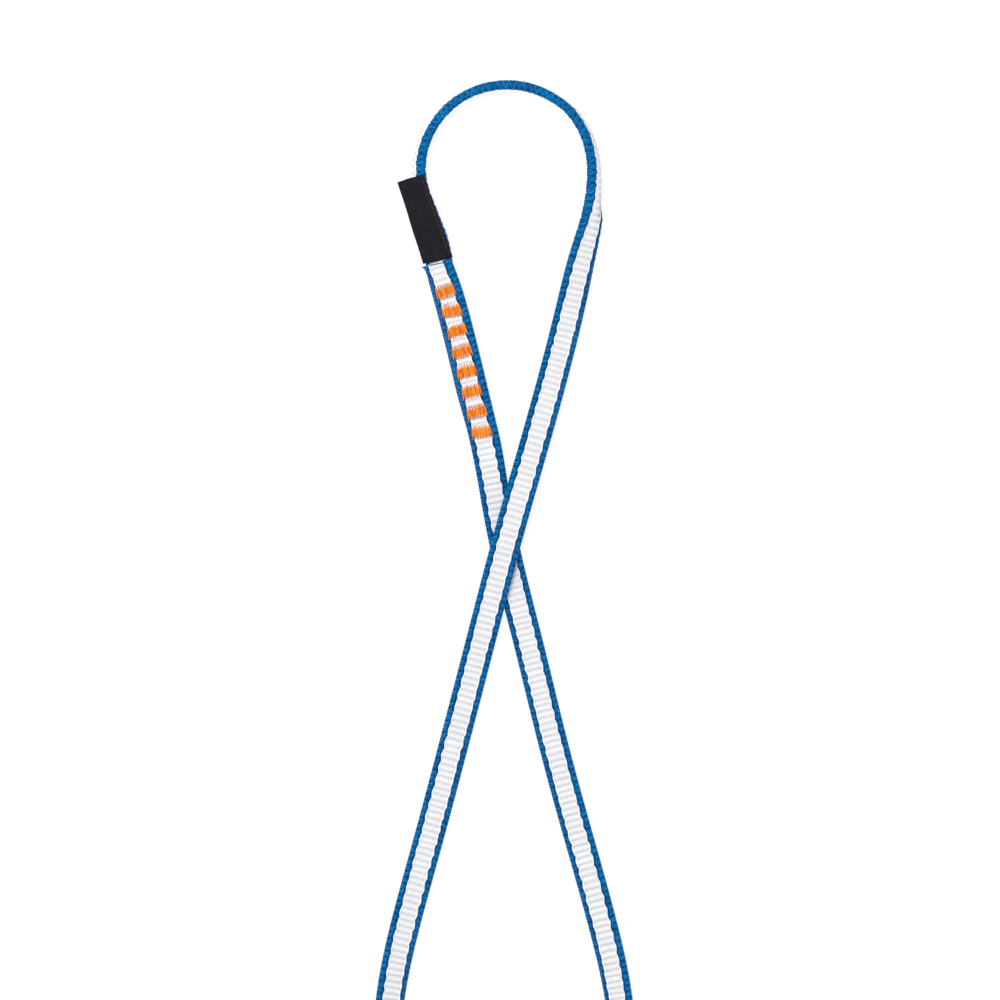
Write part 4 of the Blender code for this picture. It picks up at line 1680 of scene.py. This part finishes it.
@dataclass
class CutEnds:
    """The strip's two hot-cut ends: melted white fibre and a blue thread drawn across the front one.

    Sizes are in metres, but those named _mm are in millimetres.
    """

    route: Route
    half_width: float = 4.2 * MM
    half_thickness: float = 0.98 * MM
    bead_out_mm: float = 0.22
    lump_out_mm: float = 0.07
    lump_rise: float = 0.06 * MM
    lump_run_mm: float = 0.9
    bead_half_width: float = 0.38 * MM
    bead_sides: int = 12
    thread_ends: tuple[float, float] = (-4.6 * MM, 3.9 * MM)
    thread_start_mm: float = 0.15
    thread_slope_mm: float = 0.55
    thread_sway_mm: float = 0.06
    thread_height_mm: float = 1.15
    thread_lift_mm: float = 0.05
    thread_half_width: float = 0.20 * MM
    thread_half_thickness: float = 0.17 * MM
    thread_sides: int = 8

    def lay_at(
        self, name: str, distance: float, rings: Array, finish: Finish
    ) -> bpy.types.Object:
        """Makes a piece of one thread that lies across the strip.

        Args:
            name: the piece's name.
            distance: where it lies along the strip.
            rings: the thread, in the webbing's own directions.
            finish: how it looks.

        Returns:
            The piece.
        """
        mesh = ThreadMesh(name)
        mesh.add(self.route.strip(np.array([distance])).place_one(rings))
        return thread_piece(mesh, finish)

    def seal(self, name: str, distance: float, way: float) -> bpy.types.Object:
        """A lumpy melted bead across the end.

        It lies bead_out + lump_out * a random line out of the end and lump_rise * that line high. Its width
        and thickness fall away towards the strip's edges as the root of 1 - |share|^8.

        Args:
            name: the piece's name.
            distance: where the end is along the strip.
            way: 1 if the webbing goes on from here, and -1 if it ends here.

        Returns:
            The piece.
        """
        across = np.linspace(-self.half_width, self.half_width, 33)
        lumps = wander((across + self.half_width) / MM, self.lump_run_mm, int(20 + way))
        out = way * (self.bead_out_mm + self.lump_out_mm * lumps) * MM
        path = np.stack([out, across, self.lump_rise * lumps], axis=-1)
        taper = np.sqrt(np.clip(1.0 - (across / (self.half_width * 1.02)) ** 8, 0.02, 1.0))
        rings = swept(path, 1.0, self.bead_half_width * taper, self.half_thickness * taper, self.bead_sides)
        return self.lay_at(name, distance, rings, WHITE_MELT)

    def end_thread(self) -> bpy.types.Object:
        """The blue thread across the front end, which slopes away from the lower edge.

        Its lie along the strip is thread_start + thread_slope * share + thread_sway * a random line, and
        its height thread_height + thread_lift * another.

        Returns:
            The piece.
        """
        across = np.linspace(*self.thread_ends, 41)
        share = (across - across[0]) / (across[-1] - across[0])
        sway = self.thread_sway_mm * wander(share * 8, 1.0, 77)
        along = (self.thread_start_mm + self.thread_slope_mm * share + sway) * MM
        height = (self.thread_height_mm + self.thread_lift_mm * wander(share * 9, 1.0, 78)) * MM
        path = np.stack([along, across, height], axis=-1)
        rings = swept(path, 1.0, self.thread_half_width, self.thread_half_thickness, self.thread_sides)
        return self.lay_at("cut_end_blue_thread", 0.0, rings, BLUE_FIBRE)

    def build(self) -> list[bpy.types.Object]:
        """Builds both ends.

        Returns:
            The two beads and the blue thread.
        """
        strip = self.route.webbing.strip_length
        front = self.seal("cut_end_front_seal", 0.0, 1.0)
        rear = self.seal("cut_end_rear_seal", strip, -1.0)
        return [front, rear, self.end_thread()]


@dataclass
class Studio:
    """A pale floor, soft light from all round and a camera that looks straight down."""

    view_middle: tuple[float, float] = (-0.0016, 0.1340)
    view_width: float = 0.3413
    lens: float = 500.0
    sensor: float = 36.0
    clip_end: float = 50.0
    floor_drop: float = 0.25 * MM
    floor_size: float = 6.0
    floor_colour: tuple[float, float, float] = (0.80, 0.80, 0.80)
    sky_strength: float = 0.42
    backdrop_glow: float = 0.80
    faint_colour: tuple[float, float, float] = (0.24, 0.24, 0.24)
    lamp_place: tuple[float, float, float] = (-0.25, 0.45, 1.6)
    lamp_aim: tuple[float, float, float] = (0.0, 0.1, 0.0)
    lamp_size: float = 0.9
    lamp_power: float = 25.5

    def camera(self) -> None:
        """The camera, as high above the floor as its lens needs for the view's width."""
        data = bpy.data.cameras.new("photo_camera")
        data.lens = self.lens
        data.sensor_width = self.sensor
        made = bpy.data.objects.new("photo_camera", data)
        made.location = (*self.view_middle, self.view_width * self.lens / self.sensor)
        bpy.context.scene.collection.objects.link(made)
        data.clip_end = self.clip_end
        bpy.context.scene.camera = made

    @staticmethod
    def seen_directly(tree: bpy.types.NodeTree) -> bpy.types.NodeSocket:
        """1 for rays from the camera, and for mirrored and passed ones.

        Args:
            tree: the tree that the nodes go into.

        Returns:
            The socket that gives it.
        """
        path = tree.nodes.new("ShaderNodeLightPath")
        first = maths(tree, "MAXIMUM", path.outputs["Is Camera Ray"], path.outputs["Is Glossy Ray"])
        return maths(tree, "MAXIMUM", first, path.outputs["Is Transmission Ray"])

    def floor(self) -> None:
        """A white floor: it shows as white wherever no shadow falls on it."""
        half = self.floor_size / 2
        corners = [(-half, -half), (half, -half), (half, half), (-half, half)]
        mesh = bpy.data.meshes.new("floor")
        mesh.from_pydata([(x, y, -self.floor_drop) for x, y in corners], [], [(0, 1, 2, 3)])
        made = bpy.data.objects.new("floor", mesh)
        bpy.context.scene.collection.objects.link(made)
        material = bpy.data.materials.new("white_floor")
        material.use_nodes = True
        tree = material.node_tree
        tree.nodes.clear()
        lit = add_node(tree, "ShaderNodeBsdfDiffuse", {"Color": (*self.floor_colour, 1.0)})
        seen = self.seen_directly(tree)
        faint = add_node(tree, "ShaderNodeBsdfDiffuse", {"Color": (*self.faint_colour, 1.0)})
        glow = add_node(tree, "ShaderNodeEmission", {"Strength": self.backdrop_glow})
        shown = add_node(tree, "ShaderNodeAddShader", {"0": faint.outputs[0], "1": glow.outputs[0]})
        mixed = add_node(
            tree, "ShaderNodeMixShader", {"0": seen, "1": lit.outputs[0], "2": shown.outputs[0]}
        )
        add_node(tree, "ShaderNodeOutputMaterial", {"Surface": mixed.outputs[0]})
        mesh.materials.append(material)

    def sky(self) -> None:
        """Even light from all round, shown as plain white."""
        world = bpy.data.worlds.new("soft_box")
        world.use_nodes = True
        bpy.context.scene.world = world
        tree = world.node_tree
        back = tree.nodes["Background"]
        seen = self.seen_directly(tree)
        more = maths(tree, "MULTIPLY", seen, 1.0 - self.sky_strength)
        tree.links.new(maths(tree, "ADD", more, self.sky_strength), back.inputs["Strength"])
        back.inputs["Color"].default_value = (1.0, 1.0, 1.0, 1.0)

    def lamp(self) -> None:
        """A soft square lamp that faces the sling."""
        data = bpy.data.lights.new("overhead_lamp", "AREA")
        data.size = self.lamp_size
        data.energy = self.lamp_power
        made = bpy.data.objects.new("overhead_lamp", data)
        made.location = self.lamp_place
        aim = np.array(self.lamp_aim) - np.array(self.lamp_place)
        made.rotation_mode = "QUATERNION"
        made.rotation_quaternion = Vector(aim).to_track_quat("-Z", "Y")
        made.visible_camera = False
        bpy.context.scene.collection.objects.link(made)

    def build(self) -> None:
        """Sets the whole studio up."""
        bpy.context.scene.view_settings.view_transform = "Standard"
        self.camera()
        self.floor()
        self.sky()
        self.lamp()
        LOG.info("studio: camera %.2f m above the floor", self.view_width * self.lens / self.sensor)


def clear_start() -> None:
    """Removes the objects that Blender starts with."""
    for thing in list(bpy.data.objects):
        bpy.data.objects.remove(thing, do_unlink=True)


def main() -> None:
    """Loads the frame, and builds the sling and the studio."""
    logging.basicConfig(level=logging.INFO, format="%(message)s")
    clear_start()
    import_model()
    webbing = Webbing()
    route = Route(webbing)
    ribs = Ribs(webbing)
    Studio().build()
    fibre_group()
    ribbon_group()
    filling, white_threads = Core(route, ribs).build()
    edges = [
        *Selvedge(route, ribs, Side.RAISED, "selvedge_raised").build(),
        *Selvedge(route, ribs, Side.LOWER, "selvedge_lower").build(),
    ]
    tacks = BarTacks(route).build()
    label = Label(route).build()
    ends = CutEnds(route).build()
    steps = round(webbing.strip_length / MM) + 1
    path = route.strip(np.linspace(0.0, webbing.strip_length, steps)).middle


if __name__ == "__main__":
    main()
